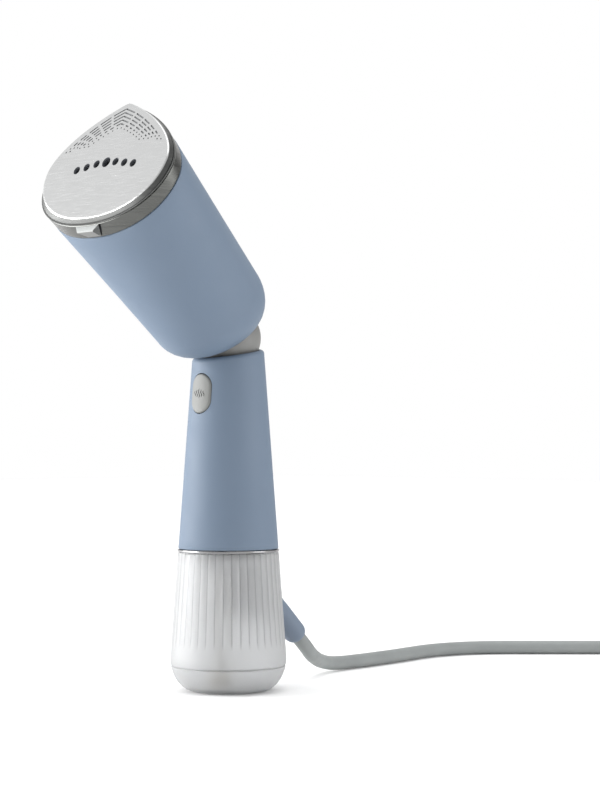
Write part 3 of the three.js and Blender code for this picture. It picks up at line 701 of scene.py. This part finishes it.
def plate_outline(angle):
    """The plate's drop-shaped outline: x across, q up towards the tip."""
    across, rise = math.cos(angle), math.sin(angle)
    if rise >= 0:
        pointed = 1.02 - math.sqrt(across * across + 0.0004 * rise * rise) - 0.02 * abs(across)
        return PLATE_HALF * across, PLATE_WIDEST + PLATE_UP * (0.6 * rise + 0.4 * pointed)
    power = 2 / 2.2
    x = math.copysign(abs(across) ** power, across)
    return PLATE_HALF * x, PLATE_WIDEST - PLATE_DOWN * abs(rise) ** power


def head_ring(inset, height, lift=0.0, count=176):
    """One ring of the head's outline, drawn in by inset, at a height that follows y. Lift raises its foot."""
    straight = HEAD_LENGTH - DOME_END
    ring = []
    for angle in turns(count):
        fx, fq = plate_outline(angle)
        fy = fq * FACE_COS
        rx = REAR_HALF[0] * math.cos(angle)
        ry = REAR_MIDDLE + REAR_HALF[1] * math.sin(angle)
        y, share = fy, 1
        for _ in range(8):
            share = min(max((height(y) - DOME_END) / straight, 0), 1.2)
            y = ry + share * (fy - ry)
        x = rx + share * (fx - rx)
        half_width = REAR_HALF[0] + share * (PLATE_HALF - REAR_HALF[0])
        half_height = REAR_HALF[1] + share * (PLATE_HALF_HEIGHT - REAR_HALF[1])
        middle = REAR_MIDDLE + share * (PLATE_MIDDLE - REAR_MIDDLE)
        raised = lift * (1 - 1.3 * min(max((y - middle + 25) / 55, 0), 1))
        y = middle + (y - middle) * (1 - inset / half_height) + raised
        ring.append(Vector((x * (1 - inset / half_width), y, height(y))))
    return ring


def dome_ring(inset, step, count=176):
    """One ring of the head's rear dome, from its pole at step 0 to the full section at step 1."""
    size = math.sin(step * math.pi / 2)
    z = REAR_Z + inset + (REAR_DEPTH - inset) * (1 - math.cos(step * math.pi / 2))
    ring = []
    for angle in turns(count):
        y = REAR_MIDDLE + REAR_SHIFT * (1 - size) + (REAR_HALF[1] - inset) * size * math.sin(angle)
        ring.append(Vector(((REAR_HALF[0] - inset) * size * math.cos(angle), y, z)))
    return ring


def behind_face(depth):
    """A plane behind the plate's face. The joints of plate and band lean a little less than the face."""
    lean = JOINT_LEAN * min(max(depth / PLATE_DEPTH, 0), 1)
    lean -= BAND_LEAN * min(max((depth - PLATE_DEPTH) / (BAND_END - PLATE_DEPTH), 0), 1)
    return lambda y: HEAD_LENGTH + (PLATE_SLANT - lean) * y - depth


PIVOT = Matrix.Translation((0, 0, PIVOT_Z))
HEAD_PLACE = PIVOT @ Matrix.Rotation(HEAD_TILT, 4, "X")


def on_face(x, q, depth=0.0):
    """The head-frame matrix of a spot on the plate: +Z out of the face, +Y up in it."""
    lean = Vector((0, -PLATE_SLANT, 1)).normalized()
    rise = Vector((0, FACE_COS, FACE_COS * PLATE_SLANT))
    place = Matrix((Vector((1, 0, 0)), rise, lean)).transposed().to_4x4()
    origin = Vector((x, q * FACE_COS, HEAD_LENGTH + q * FACE_COS * PLATE_SLANT)) - lean * depth
    return HEAD_PLACE @ Matrix.Translation(origin) @ place


def block(name, x0, x1, y0, y1, z0, z1, edge=0.0, matrix=None):
    """A box whose long edges are chamfered."""
    rings = []
    for z, inset in ((z0, edge), (z0 + edge, 0), (z1 - edge, 0), (z1, edge)) if edge else ((z0, 0), (z1, 0)):
        a, b, c, d = x0 + inset, x1 - inset, y0 + inset, y1 - inset
        rings.append([Vector((a, c, z)), Vector((b, c, z)), Vector((b, d, z)), Vector((a, d, z))])
    return build(name, rings, matrix=matrix)


def hull(name, points):
    """The convex solid round a set of points."""
    shape = bmesh.new()
    for point in points:
        shape.verts.new(Vector(point) * MM)
    made = bmesh.ops.convex_hull(shape, input=shape.verts)
    spare = {*made["geom_interior"], *made["geom_unused"]}
    spare = [part for part in spare if isinstance(part, bmesh.types.BMVert)]
    bmesh.ops.delete(shape, geom=spare, context="VERTS")
    bmesh.ops.recalc_face_normals(shape, faces=shape.faces)
    mesh = bpy.data.meshes.new(name)
    shape.to_mesh(mesh)
    shape.free()
    return placed(name, mesh)


# ---------------- water tank
def flute(angle):
    """Depth of the flutes at an angle: broad rounded ribs with narrow valleys."""
    wave = abs(math.cos(angle * FLUTES / 2))
    return FLUTE_DEPTH * (1 - wave**0.6)


def notch(grow, foot):
    """The slot that the handle's spine stands in."""
    half = SPINE_HALF + SPINE_PLAY + grow
    low = SPINE_Z - 2 - SPINE_PLAY - grow
    return block("notch", -half, half, SPINE_Y - SPINE_PLAY - grow, 45, low, 90 + foot, edge=0.5)


def tank_body():
    sides = FLUTES * 10
    low = SEAM_Z + GAP
    levels = [(low, 1.3, 0), (low, 0.5, 0), (low + 0.12, 0.2, 0), (low + 0.35, 0.03, 0), (low + 0.8, 0, 0)]
    levels += [(z, 0, 0) for z in (15.2, 16.5, 17.8)]
    levels += [(FLUTE_FOOT_Z + i, 0, ease(i, 0, 8)) for i in range(0, 9)]
    levels += [(z, 0, 1) for z in (30, 36, 42, 48, 54, 60, 65)]
    levels += [(TANK_TOP - 0.9, 0, 1), (TANK_TOP - 0.4, 0.1, 1), (TANK_TOP, 0.5, 0.7)]
    rings = []
    for z, inset, share in levels:
        ring = []
        for angle in turns(sides):
            r = body_radius(z) - inset - share * flute(angle)
            ring.append(Vector((r * math.cos(angle), r * math.sin(angle), z)))
        rings.append(ring)
    for z in (TANK_TOP, 60, 40, 20, low):
        rings.append(circle(body_radius(z) - TANK_WALL, z, sides))
    body = painted(build("tank_wall", rings, closed=True), "frosted")
    wall = painted(notch(TANK_WALL, -20.8), "frosted")
    combine(body, "DIFFERENCE", painted(notch(0, 0), "frosted"))
    pocket = combine(wall, "DIFFERENCE", painted(notch(0, 1), "frosted"))
    low_r, high_r = body_radius(30) - 0.6, body_radius(TANK_TOP) - 0.6
    trim = lathe("trim", [(0, 30), (low_r, 30), (high_r, TANK_TOP), (0, TANK_TOP)], 96)
    combine(pocket, "INTERSECT", trim)
    return combine(body, "UNION", pocket)


def tank_base():
    profile = [(0, 0), (15.5, 0)]
    profile += [(body_radius(z) - 0.02, z) for z in (0.25, 0.6, 1.2, 2, 3, 4.2, 5.6, 7, 8.5, 10, 11.2)]
    seam = [(0, -0.6), (0.03, -0.3), (0.18, -0.08), (0.45, 0), (0.6, 0), (0.7, 0.22), (1.3, 0.22), (1.5, 0)]
    profile += [(body_radius(SEAM_Z) - inset, SEAM_Z + rise) for inset, rise in seam]
    profile += [(body_radius(z) - TANK_WALL, z) for z in (SEAM_Z, 10, 7, 4, 2.4)] + [(0, 2.4)]
    return painted(lathe("tank_foot", profile, 128), "frosted")


def tank_neck():
    """The tank's inner lid: a dished plate round the mouth with a raised collar."""
    outer = body_radius(64) - TANK_WALL - GAP - 0.4
    plate = lathe("tank_lid", rounded([(0, 62.5), (outer, 62.5), (outer, 66), (0, 66)], 0.5), 96)
    opening = [(0, 61), (14.8, 61), (14.8, 65.2), (15.5, 66), (15.5, 68), (0, 68)]
    mouth = lathe("mouth", opening, 96, y=MOUTH_Y)
    combine(plate, "DIFFERENCE", mouth, notch(TANK_WALL + GAP, 0))
    groove = lathe("groove", [(16.6, 65.5), (17.4, 65.5), (17.4, 67), (16.6, 67)], 96, y=MOUTH_Y, closed=True)
    return painted(combine(plate, "DIFFERENCE", groove), "white")


finished(tank_body(), "tank", "frosted_plastic", "tank_body", sharp=40)
finished(tank_base(), "tank", "frosted_plastic", "tank_base")
finished(tank_neck(), "tank", "white_plastic", "tank_neck")


# ---------------- handle
def cone_ring(inset, height, sides=160):
    """A ring on the handle's cone at a height that may slope with y."""
    ring = []
    for angle in turns(sides):
        z = height(0)
        for _ in range(5):
            z = height((body_radius(z) - inset) * math.sin(angle))
        r = body_radius(z) - inset
        ring.append(Vector((r * math.cos(angle), r * math.sin(angle), z)))
    return ring


def rim(below):
    """The handle's sloping upper edge, or a line some way below it."""
    return lambda y: RIM_Z + RIM_SLOPE * y - below


def level(z):
    return lambda y: z


def spine():
    """The tongue of the handle that stands behind the tank and carries the cord."""
    rings = []
    levels = [(SPINE_Z, 1.2), (SPINE_Z + 0.3, 0.6), (SPINE_Z + 0.9, 0.15), (SPINE_Z + 1.6, 0)]
    levels += [(50, 0), (60, 0), (72.5, 0)]
    for z, inset in levels:
        r = body_radius(z) - inset
        half = SPINE_HALF - inset
        reach = math.asin((half - 0.8) / r)
        outer = [math.pi / 2 - reach + 2 * reach * i / 20 for i in range(21)]
        arc = [Vector((r * math.cos(t), r * math.sin(t), z)) for t in outer]
        corner = math.sqrt(r * r - half * half) - 1.0
        low = SPINE_Y + inset
        ring = [Vector((half, corner, z)), *arc, Vector((-half, corner, z))]
        ring += [Vector((-half, low, z)), Vector((half, low, z))]
        rings.append(ring)
    return build("spine", rings)


def head_clearance():
    """The room that the head's rounded rear end needs above the handle's front lip."""
    rings = [dome_ring(-0.25, step) for step in (0.08, 0.2, 0.35, 0.5, 0.65, 0.8, 0.9, 1)]
    rings.append(head_ring(-0.25, level(60)))
    return build("clearance", rings, matrix=HEAD_PLACE)


def stadium(width, height, count=64):
    """An upright stadium outline as (across, up) pairs."""
    r, straight = width / 2, (height - width) / 2
    points = []
    for angle in turns(count):
        rise = straight if math.sin(angle) >= 0 else -straight
        points.append((r * math.cos(angle), rise + r * math.sin(angle)))
    return points


def button_hole():
    """The opening round the button."""
    width, height = BUTTON_SIZE[0] + 0.7, BUTTON_SIZE[1] + 0.7
    rings = [[Vector((x, y, BUTTON_Z + z)) for x, z in stadium(width, height)] for y in (-40, -10)]
    return build("button_hole", rings)


def handle_shell():
    rings = [cone_ring(0.5, level(HANDLE_BOTTOM)), cone_ring(0.15, level(HANDLE_BOTTOM + 0.15))]
    rings += [cone_ring(0, level(HANDLE_BOTTOM + 0.5))]
    rings += [cone_ring(0, level(z)) for z in range(76, 156, 4)]
    rings.append(cone_ring(0, rim(LIP + 4)))
    for i in range(11):
        angle = math.pi / 2 * i / 10
        rings.append(cone_ring(LIP * (1 - math.cos(angle)), rim(LIP * (1 - math.sin(angle)))))
    rings += [cone_ring(LIP + 0.3, rim(0.15)), cone_ring(LIP + 0.5, rim(0.6)), cone_ring(LIP + 0.5, rim(5))]
    rings.append(cone_ring(HANDLE_WALL, rim(8)))
    rings += [cone_ring(HANDLE_WALL, level(z)) for z in (140, 110, 80, HANDLE_BOTTOM)]
    shell = build("handle_grip", rings, closed=True)
    combine(shell, "UNION", spine())
    room = RELIEF_R + 0.3
    pocket = [(0, -33.5), (room, -33.5), (room, 6), (0, 6)]
    relief = lathe("relief_pocket", pocket, 48, matrix=pointing(RELIEF_END, RELIEF_DIR))
    bore = lathe("cord_bore", [(0, 46), (4.1, 46), (4.1, 80), (0, 80)], 32, y=17.8)
    socket = lathe("ball_room", ball_arc(BALL_R + 0.3, 6), 96, matrix=PIVOT)
    combine(shell, "DIFFERENCE", relief, bore, socket, button_hole(), head_clearance())
    return painted(shell, "blue")


def trigger_button():
    """A domed cap that follows the handle's cone, a stem, and the flange that keeps it in."""
    width, height = BUTTON_SIZE

    def ring(inset, proud):
        points = []
        for x, z in stadium(width - 2 * inset, height - 2 * inset):
            r = body_radius(BUTTON_Z + z) + proud
            points.append(Vector((x, -math.sqrt(r * r - x * x), BUTTON_Z + z)))
        return points

    def flat(width, height, y):
        return [Vector((x, y, BUTTON_Z + z)) for x, z in stadium(width, height)]

    rings = [flat(15.2, 20.6, -13.8), flat(15.2, 20.6, -15.0), flat(8, 14, -15.0), flat(8, 14, -16.8)]
    rings += [flat(width - 0.4, height - 0.4, -16.8), ring(0, -1.2), ring(0, -0.15)]
    for i in range(1, 7):
        angle = math.pi / 2 * i / 6
        rings.append(ring(0.85 * (1 - math.cos(angle)), -0.15 + 0.85 * math.sin(angle)))
    rings += [ring(1.8, 0.76), ring(3, 0.8), ring(4.4, 0.82), ring(5.8, 0.83)]
    cap = painted(build("trigger_cap", rings), "button")
    waves = merged("waves", [steam_wave(column) for column in (-2, -1, 0, 1, 2)])
    return combine(cap, "DIFFERENCE", painted(waves, "icon_and_flank_shade"))


def steam_wave(column):
    """One wavy stroke of the steam sign, sunk into the button."""
    rings = []
    steps = 14
    tall = 4.6 - abs(column)
    for i in range(steps + 1):
        t = i / steps
        x = column * 1.5 + 0.4 * math.sin(2 * math.pi * t)
        z = BUTTON_Z - tall / 2 + tall * t
        half = 0.3 * math.sin(math.pi * min(max(t, 0.06), 0.94)) ** 0.4
        surface = body_radius(z) + 0.83
        ring = []
        for side, depth in ((-half, 0.5), (half, 0.5), (half, -0.28), (-half, -0.28)):
            r = surface + depth
            ring.append(Vector((x + side, -math.sqrt(r * r - x * x), z)))
        rings.append(ring)
    return build("wave", rings)


def neck_ball():
    """The ball of the neck on its collar, slotted for the head bracket and bored for the hose."""
    ball = lathe("neck_joint", ball_arc(BALL_R, 5), 96, matrix=PIVOT)

    def collar(r, below):
        return [Vector((r * math.cos(t), r * math.sin(t), rim(below)(r * math.sin(t)))) for t in turns(96)]

    corners = []
    for lean in (-1, -0.75, -0.5, -0.25, 0.05, 0.35):
        place = pointing((0, 0, PIVOT_Z), (0, math.tan(HEAD_TILT * lean), 1))
        corners += [place @ Vector((x, y, z)) for x in (-6.6, 6.6) for y in (-6.2, 6.2) for z in (-6.5, 24)]
    inside = [(0, -15.2), (2.3, -15.2), (2.3, 15.2), (0, 15.2)]
    pins = lathe("pin_bore", inside, 30, matrix=pointing((0, 0, PIVOT_Z), (1, 0.001, 0.001)))
    combine(ball, "DIFFERENCE", hull("ear_room", corners))
    combine(ball, "DIFFERENCE", pins)
    steps = ((14.3, 4.4), (14.5, 4.2), (14.5, 2.6), (14.2, 2.3), (13, 2.1))
    combine(ball, "UNION", build("collar", [collar(r, below) for r, below in steps]))
    combine(ball, "UNION", lathe("stem", [(0, 157.5), (10.9, 157.5), (10.9, 166.7), (0, 166.7)], 61))
    hose = lathe("hose_bore", [(0, 150), (4.5, 150), (4.5, PIVOT_Z), (0, PIVOT_Z)], 34)
    combine(ball, "DIFFERENCE", hose)
    return painted(ball, "grey")


def trim_ring():
    profile = [(22.6, 69.9), (22.6, 69.5), (25.45, 69.5), (25.45, 70.5), (22.6, 70.5), (22.6, 70.1)]
    ring = lathe("bright_trim", rounded(profile, 0.2, 3), 128, closed=True)
    half = SPINE_HALF + GAP
    return painted(combine(ring, "DIFFERENCE", block("gap", -half, half, SPINE_Y, 40, 60, 80)), "trim")


def strain_relief():
    """The tapered sleeve that leads the cord out of the spine, blunt and rounded at its end."""
    profile = [(3.9, -33), (5.6, -33), (5.9, -20), (5.85, -4)]
    for t in (0.2, 0.45, 0.7, 0.95, 1.2, 1.4, 1.57):
        profile.append((5.85 - 1.9 * (1 - math.cos(t)), -4 + 4 * math.sin(t)))
    profile += [(3.9, -0.1), (3.9, -1.2)]
    place = pointing(RELIEF_END, RELIEF_DIR)
    return painted(lathe("cord_sleeve", profile, 64, closed=True, matrix=place), "deep_blue")


finished(handle_shell(), "handle", "blue_shell", "handle_shell")
finished(trim_ring(), "handle", "steel", "trim_ring")
finished(neck_ball(), "handle", "neck_grey", "neck_ball")
finished(strain_relief(), "handle", "deep_blue", "strain_relief")
finished(trigger_button(), "trigger", "button_grey", "trigger_button")


# ---------------- head
def head_shell():
    front = BAND_END + GAP
    steps = (0.06, 0.12, 0.18, 0.25, 0.32, 0.4, 0.48, 0.56, 0.64, 0.72, 0.8, 0.88, 0.94, 1)
    rings = [dome_ring(0, step) for step in steps]
    widest = rings[-1]
    edge = head_ring(0, behind_face(front + 0.6))
    rings += [[a.lerp(b, i / 12) for a, b in zip(widest, edge)] for i in range(1, 13)]
    rings += [head_ring(0.12, behind_face(front + 0.2)), head_ring(0.45, behind_face(front))]
    inner = [dome_ring(SHELL_WALL, step) for step in (0.1, 0.25, 0.42, 0.6, 0.8, 1)]
    inner_edge = head_ring(SHELL_WALL, behind_face(front))
    inner += [[a.lerp(b, i / 3) for a, b in zip(inner[5], inner_edge)] for i in range(1, 4)]
    shell = build("head_casing", [*rings, *inner[::-1]], matrix=HEAD_PLACE)
    room = lathe("socket", ball_arc(BALL_R + 0.5, 4), 128, matrix=PIVOT)
    return painted(combine(shell, "DIFFERENCE", room), "blue")


def steel_band():
    """The band between plate and shell, with a shallow recess round the catch that is painted dark as painted
    shade.
    """
    near, far = PLATE_DEPTH + GAP, BAND_END
    profile = [(1.45, near), (0.55, near), (0.3, near + 0.2), (0.25, near + 0.5)]
    profile += [(0.25, near + (far - near) * i / 6) for i in range(1, 6)]
    profile += [(0.25, far - 0.35), (0.35, far - 0.1), (0.6, far), (1.45, far)]
    rings = [head_ring(inset, behind_face(depth)) for inset, depth in profile]
    band = painted(build("band_ring", rings, True, HEAD_PLACE), "band")
    recess = []
    for depth, left, right in ((near - 2.4, -5.6, 11.0), (5.0, -5.2, 9.2), (7.5, -4.4, 7.0)):
        low, high = under_edge(depth) - 3, under_edge(depth) + 3
        corners = ((left, high), (left, low), (right, low), (right, high))
        recess.append([Vector((x, q, -depth)) for x, q in corners])
    # Painted shade: the recess faces take the dark plastic colour in place of the shadow in the recess.
    cutter = painted(build("recess", recess, matrix=on_face(0, 0)), "dark")
    bottom = [head_ring(1.0, behind_face(depth)) for depth in (near - 1, far + 1)]
    combine(cutter, "DIFFERENCE", build("floor_under", bottom, matrix=HEAD_PLACE))
    return combine(band, "DIFFERENCE", cutter)


SLIT_ROWS = [(7.7, 1.4), (7.0, 1.3), (6.2, 1.3), (5.4, 1.4), (2.8, 1.5), (0.8, 2.0)]  # first slit, gap


def slit_line(row, across):
    """How high a row of slits runs at a distance from the plate's middle line."""
    return 31.4 - 2.05 * row - (0.335 * across + 0.0077 * across * across)


def slits():
    """Shallow slits in nested chevrons, each shorter than the one before it, that end in dots."""
    marks = []
    for row, (first, gap) in enumerate(SLIT_ROWS):
        begin = 0 if first > 1 else gap / 2
        count = 0
        while begin < 34.6 - 3.1 * row:
            end = begin + max(0.8, first * (1 - 0.18 * count))
            a, b = Vector((begin, slit_line(row, begin))), Vector((end, slit_line(row, end)))
            marks += [slit(a, b, 1), slit(a, b, -1)]
            begin = end + gap
            count += 1
    # The cutters' colour paints shade into the slits.
    return painted(merged("slit_cutters", marks), "slit")


def slit(a, b, side):
    """One slit with rounded ends between two places on the face."""
    half = 0.38
    direction = (b - a).normalized()
    length = (b - a).length
    normal = Vector((-direction.y, direction.x))
    outline = []
    for begin, centre in ((-90, length - half), (90, half)):
        for i in range(5):
            angle = math.radians(begin + 45 * i)
            spot = a + direction * (centre + half * math.cos(angle)) + normal * half * math.sin(angle)
            outline.append((spot.x * side, spot.y))
    rings = [[Vector((x, y, z)) for x, y in outline] for z in (-0.4, 1)]
    return build("slit", rings, matrix=on_face(0, 0))


STEAM_HOLES = [(0, 1.9, 2.6)]
for side in (1, -1):
    STEAM_HOLES += [(6.85 * side, 1.55, 2.0), (13.6 * side, 0.45, 2.0), (20.3 * side, -0.6, 2.0)]


def steam_plate():
    """The cast sole: flat face, bright rounded rim, a dark flared side, a groove and a thin bead."""
    profile = [(3.5, 0, 1.0), (3.15, 0.03, 1.0), (2.85, 0.12, 0.98), (2.55, 0.3, 0.95), (2.25, 0.65, 0.88)]
    rounding = len(profile) - 1
    profile += [(1.95, 1.1, 0.75), (1.6, 1.6, 0.55), (1.25, 2.2, 0.35), (0.95, 2.65, 0.2), (0.9, 2.75, 0.1)]
    profile += [(1.3, 2.85, 0), (1.3, 3.0, 0), (0.5, 3.06, 0), (0.24, 3.14, 0), (0.15, 3.3, 0)]
    profile += [(0.15, 3.6, 0), (0.25, 3.8, 0), (0.5, PLATE_DEPTH, 0), (2.2, PLATE_DEPTH, 0)]
    rings = [head_ring(inset, behind_face(depth), lift) for inset, depth, lift in profile]
    rings.append(head_ring(2.2, behind_face(2.4)))
    plate = painted(build("sole_plate", rings, matrix=HEAD_PLACE), "plate")
    plate.data.materials.append(paints["side"])
    for face in plate.data.polygons:
        step = face.index // len(rings[0])
        face.material_index = 1 if rounding <= step < len(rings) - 1 else 0
    holes = []
    for x, q, r in STEAM_HOLES:  # a slightly wider mouth over a straight bore
        hole = [(0, -9), (r - 0.1, -9), (r - 0.1, -0.3), (r + 0.1, 0), (r + 0.1, 2), (0, 2)]
        holes.append(painted(lathe("hole", hole, 40, matrix=on_face(x, q)), "hole"))
    # The cutters' dark colour paints shade into the holes.
    combine(plate, "DIFFERENCE", painted(merged("hole_cutters", holes), "hole"))
    return combine(plate, "DIFFERENCE", slits())


def under_edge(depth):
    """How low the head's underside lies in face coordinates, at a depth behind the face."""
    return PLATE_WIDEST - PLATE_DOWN - PLATE_SLANT * depth


def attachment_catch():
    """The wedge under the plate that a clip-on brush hooks to: a pale lip, with painted shade on its flanks
    (dark) and its ramp (grey).
    """
    place = on_face(CATCH_X, 0)
    rings = []
    for depth, wide, half, reach in (
        (1.3, 7.8, 5.9, 2.5),
        (1.5, 8.0, 5.7, 3.0),
        (1.9, 8.0, 5.6, 3.0),
        (2.6, 7.6, 5.3, 2.5),
        (6.2, 5.6, 4.6, 0.7),
        (7.4, 4.8, 4.2, 0.1),
        (7.8, 4.6, 4.2, -0.4),
    ):
        edge = under_edge(depth)
        right = [(half, edge - reach), (wide, edge), (wide, edge + 1.4)]
        left = [(-x, q) for x, q in reversed(right)]
        rings.append([Vector((x, q, -depth)) for x, q in left + right])
    tab = painted(build("clip_catch", rings, matrix=place), "catch")
    # Painted shade: the ramp takes the neck's grey and the flanks the steam sign's dark grey.
    tab.data.materials.append(paints["grey"])
    tab.data.materials.append(paints["icon_and_flank_shade"])
    turn_back = place.to_3x3().inverted()
    for face in tab.data.polygons:
        facing = turn_back @ face.normal
        if abs(facing.x) > 0.45:
            face.material_index = 2
        elif facing.z < 0.6:
            face.material_index = 1
    inside = [head_ring(-0.05, behind_face(depth)) for depth in (30, -6)]
    return combine(tab, "DIFFERENCE", build("clear", inside, matrix=HEAD_PLACE))


finished(head_shell(), "head", "blue_shell", "head_shell")
finished(steel_band(), "head", "steel", "steel_band")
finished(steam_plate(), "head", "plate_finish", "steam_plate", sharp=38)
finished(attachment_catch(), "head", "neck_grey", "attachment_catch", sharp=20)


# ---------------- under the tank
def inlet_spigot():
    """The plug of the tank's mouth: a ribbed cup on a round flange, with the intake bore."""
    profile = [(2.6, 60), (4.2, 60), (4.2, 67.5), (10.4, 67.5), (10.4, 60), (12.2, 60.6)]
    profile += [(12.2, 68), (13.7, 68.3), (13.7, 71), (2.6, 71)]
    return painted(lathe("intake_spigot", rounded(profile, 0.3, 2), 72, y=MOUTH_Y, closed=True), "white")


def tank_seal():
    profile = [(12.5, 62.6), (14.1, 62.6), (14.5, 63.1), (14.2, 63.7), (14.2, 64.3)]
    profile += [(14.5, 64.9), (14.5, 65.5), (14.1, 66), (12.5, 66)]
    return painted(lathe("mouth_seal", rounded(profile, 0.2, 2), 72, y=MOUTH_Y, closed=True), "silicone")


def dip_tube():
    profile = [(1.1, 9.4), (2.1, 9.4), (2.1, 40), (2.1, 77.3), (1.1, 77.3)]
    return painted(lathe("suction_tube", profile, 32, y=MOUTH_Y, closed=True), "silicone")


def filter_weight():
    profile = [(0, 3.4), (4.4, 3.4), (5, 4), (5, 5), (4.6, 5.2)]
    profile += [(4.6, 5.8), (5, 6), (5, 8.4), (4.4, 9.1), (0, 9.1)]
    return painted(lathe("intake_filter", rounded(profile, 0.2, 2), 40, y=MOUTH_Y), "brass")


finished(inlet_spigot(), "handle", "white_plastic", "inlet_spigot")
finished(tank_seal(), "handle", "silicone", "tank_seal")
finished(dip_tube(), "handle", "silicone", "dip_tube")
finished(filter_weight(), "handle", "brass", "filter_weight")

# ---------------- CAD nodes that stay
KEPT = {
    "dark": "handle_chassis pump_body micro_switch cord_grip plate_carrier head_bracket",
    "circuit": "control_board",
    "white": "thermal_fuse",
    "steel": "pump_clamp hinge_pin_right hinge_pin_left heating_element thermostat",
    "aluminium": "heat_shield boiler_body boiler_cover",
    "silicone": "water_hose_lower water_hose_upper plate_gasket",
    "cord": "cord_tail",
}
paint_of = {name: paint for paint, names in KEPT.items() for name in names.split()}
for name, node in nodes.items():
    if not node.hide_render:
        painted(node, "steel" if "screw" in name else paint_of[name])

# ---------------- floor and light
FLOOR = 4000
floor = block("floor", -FLOOR, FLOOR, -FLOOR, FLOOR, -20, -0.15)
ground = Paint("studio_floor", (0.96, 0.96, 0.96), 0.9)
ground.vary_color(ground.noise(1.5, 2), 0.004)
ground.bump(ground.noise(300, 2), 0.00002)
floor.data.materials.append(ground.material)


def softbox(name, place, size, power):
    """A large square light aimed at the middle of the steamer."""
    target = Vector((0, 0, 0.15))
    lamp = placed(name, bpy.data.lights.new(name, "AREA"))
    lamp.data.size = size
    lamp.data.energy = power
    lamp.location = place
    lamp.rotation_euler = (target - place).to_track_quat("-Z", "Y").to_euler()
    lamp.visible_camera = False


softbox("key_left", to_right * -1.35 + away * 0.1 + up * 0.12, 1.2, 39)
softbox("side_right", to_right * 1.2 - away * 0.3 + up * 0.4, 0.8, 6)

sky = placed("overhead", bpy.data.lights.new("overhead", "SUN"))
sky.data.energy = 1.0
sky.data.angle = math.radians(60)

world = bpy.data.worlds.new("studio")
bpy.context.scene.world = world
world.use_nodes = True
backdrop = world.node_tree.nodes["Background"]
backdrop.inputs["Color"].default_value = (1, 1, 1, 1)
# The room is white, and darker on the object's right and front, which shades those sides.
room = Nodes(world.node_tree)
direction = room.node("ShaderNodeTexCoord").outputs["Generated"]
strength = 1.0
for side, begin, end, darkest in ((to_right, 0.2, 0.85, 0.45), (-away, 0.1, 0.9, 0.6)):
    dot = room.node("ShaderNodeVectorMath", operation="DOT_PRODUCT")
    dot.inputs[1].default_value = side
    room.link(direction, dot.inputs[0])
    dimmed = room.range(dot.outputs["Value"], 1.0, darkest, begin, end, interpolation_type="SMOOTHSTEP")
    strength = room.math("MINIMUM", dimmed, strength)
room.link(strength, backdrop.inputs["Strength"])
bpy.context.scene.view_settings.view_transform = "Standard"
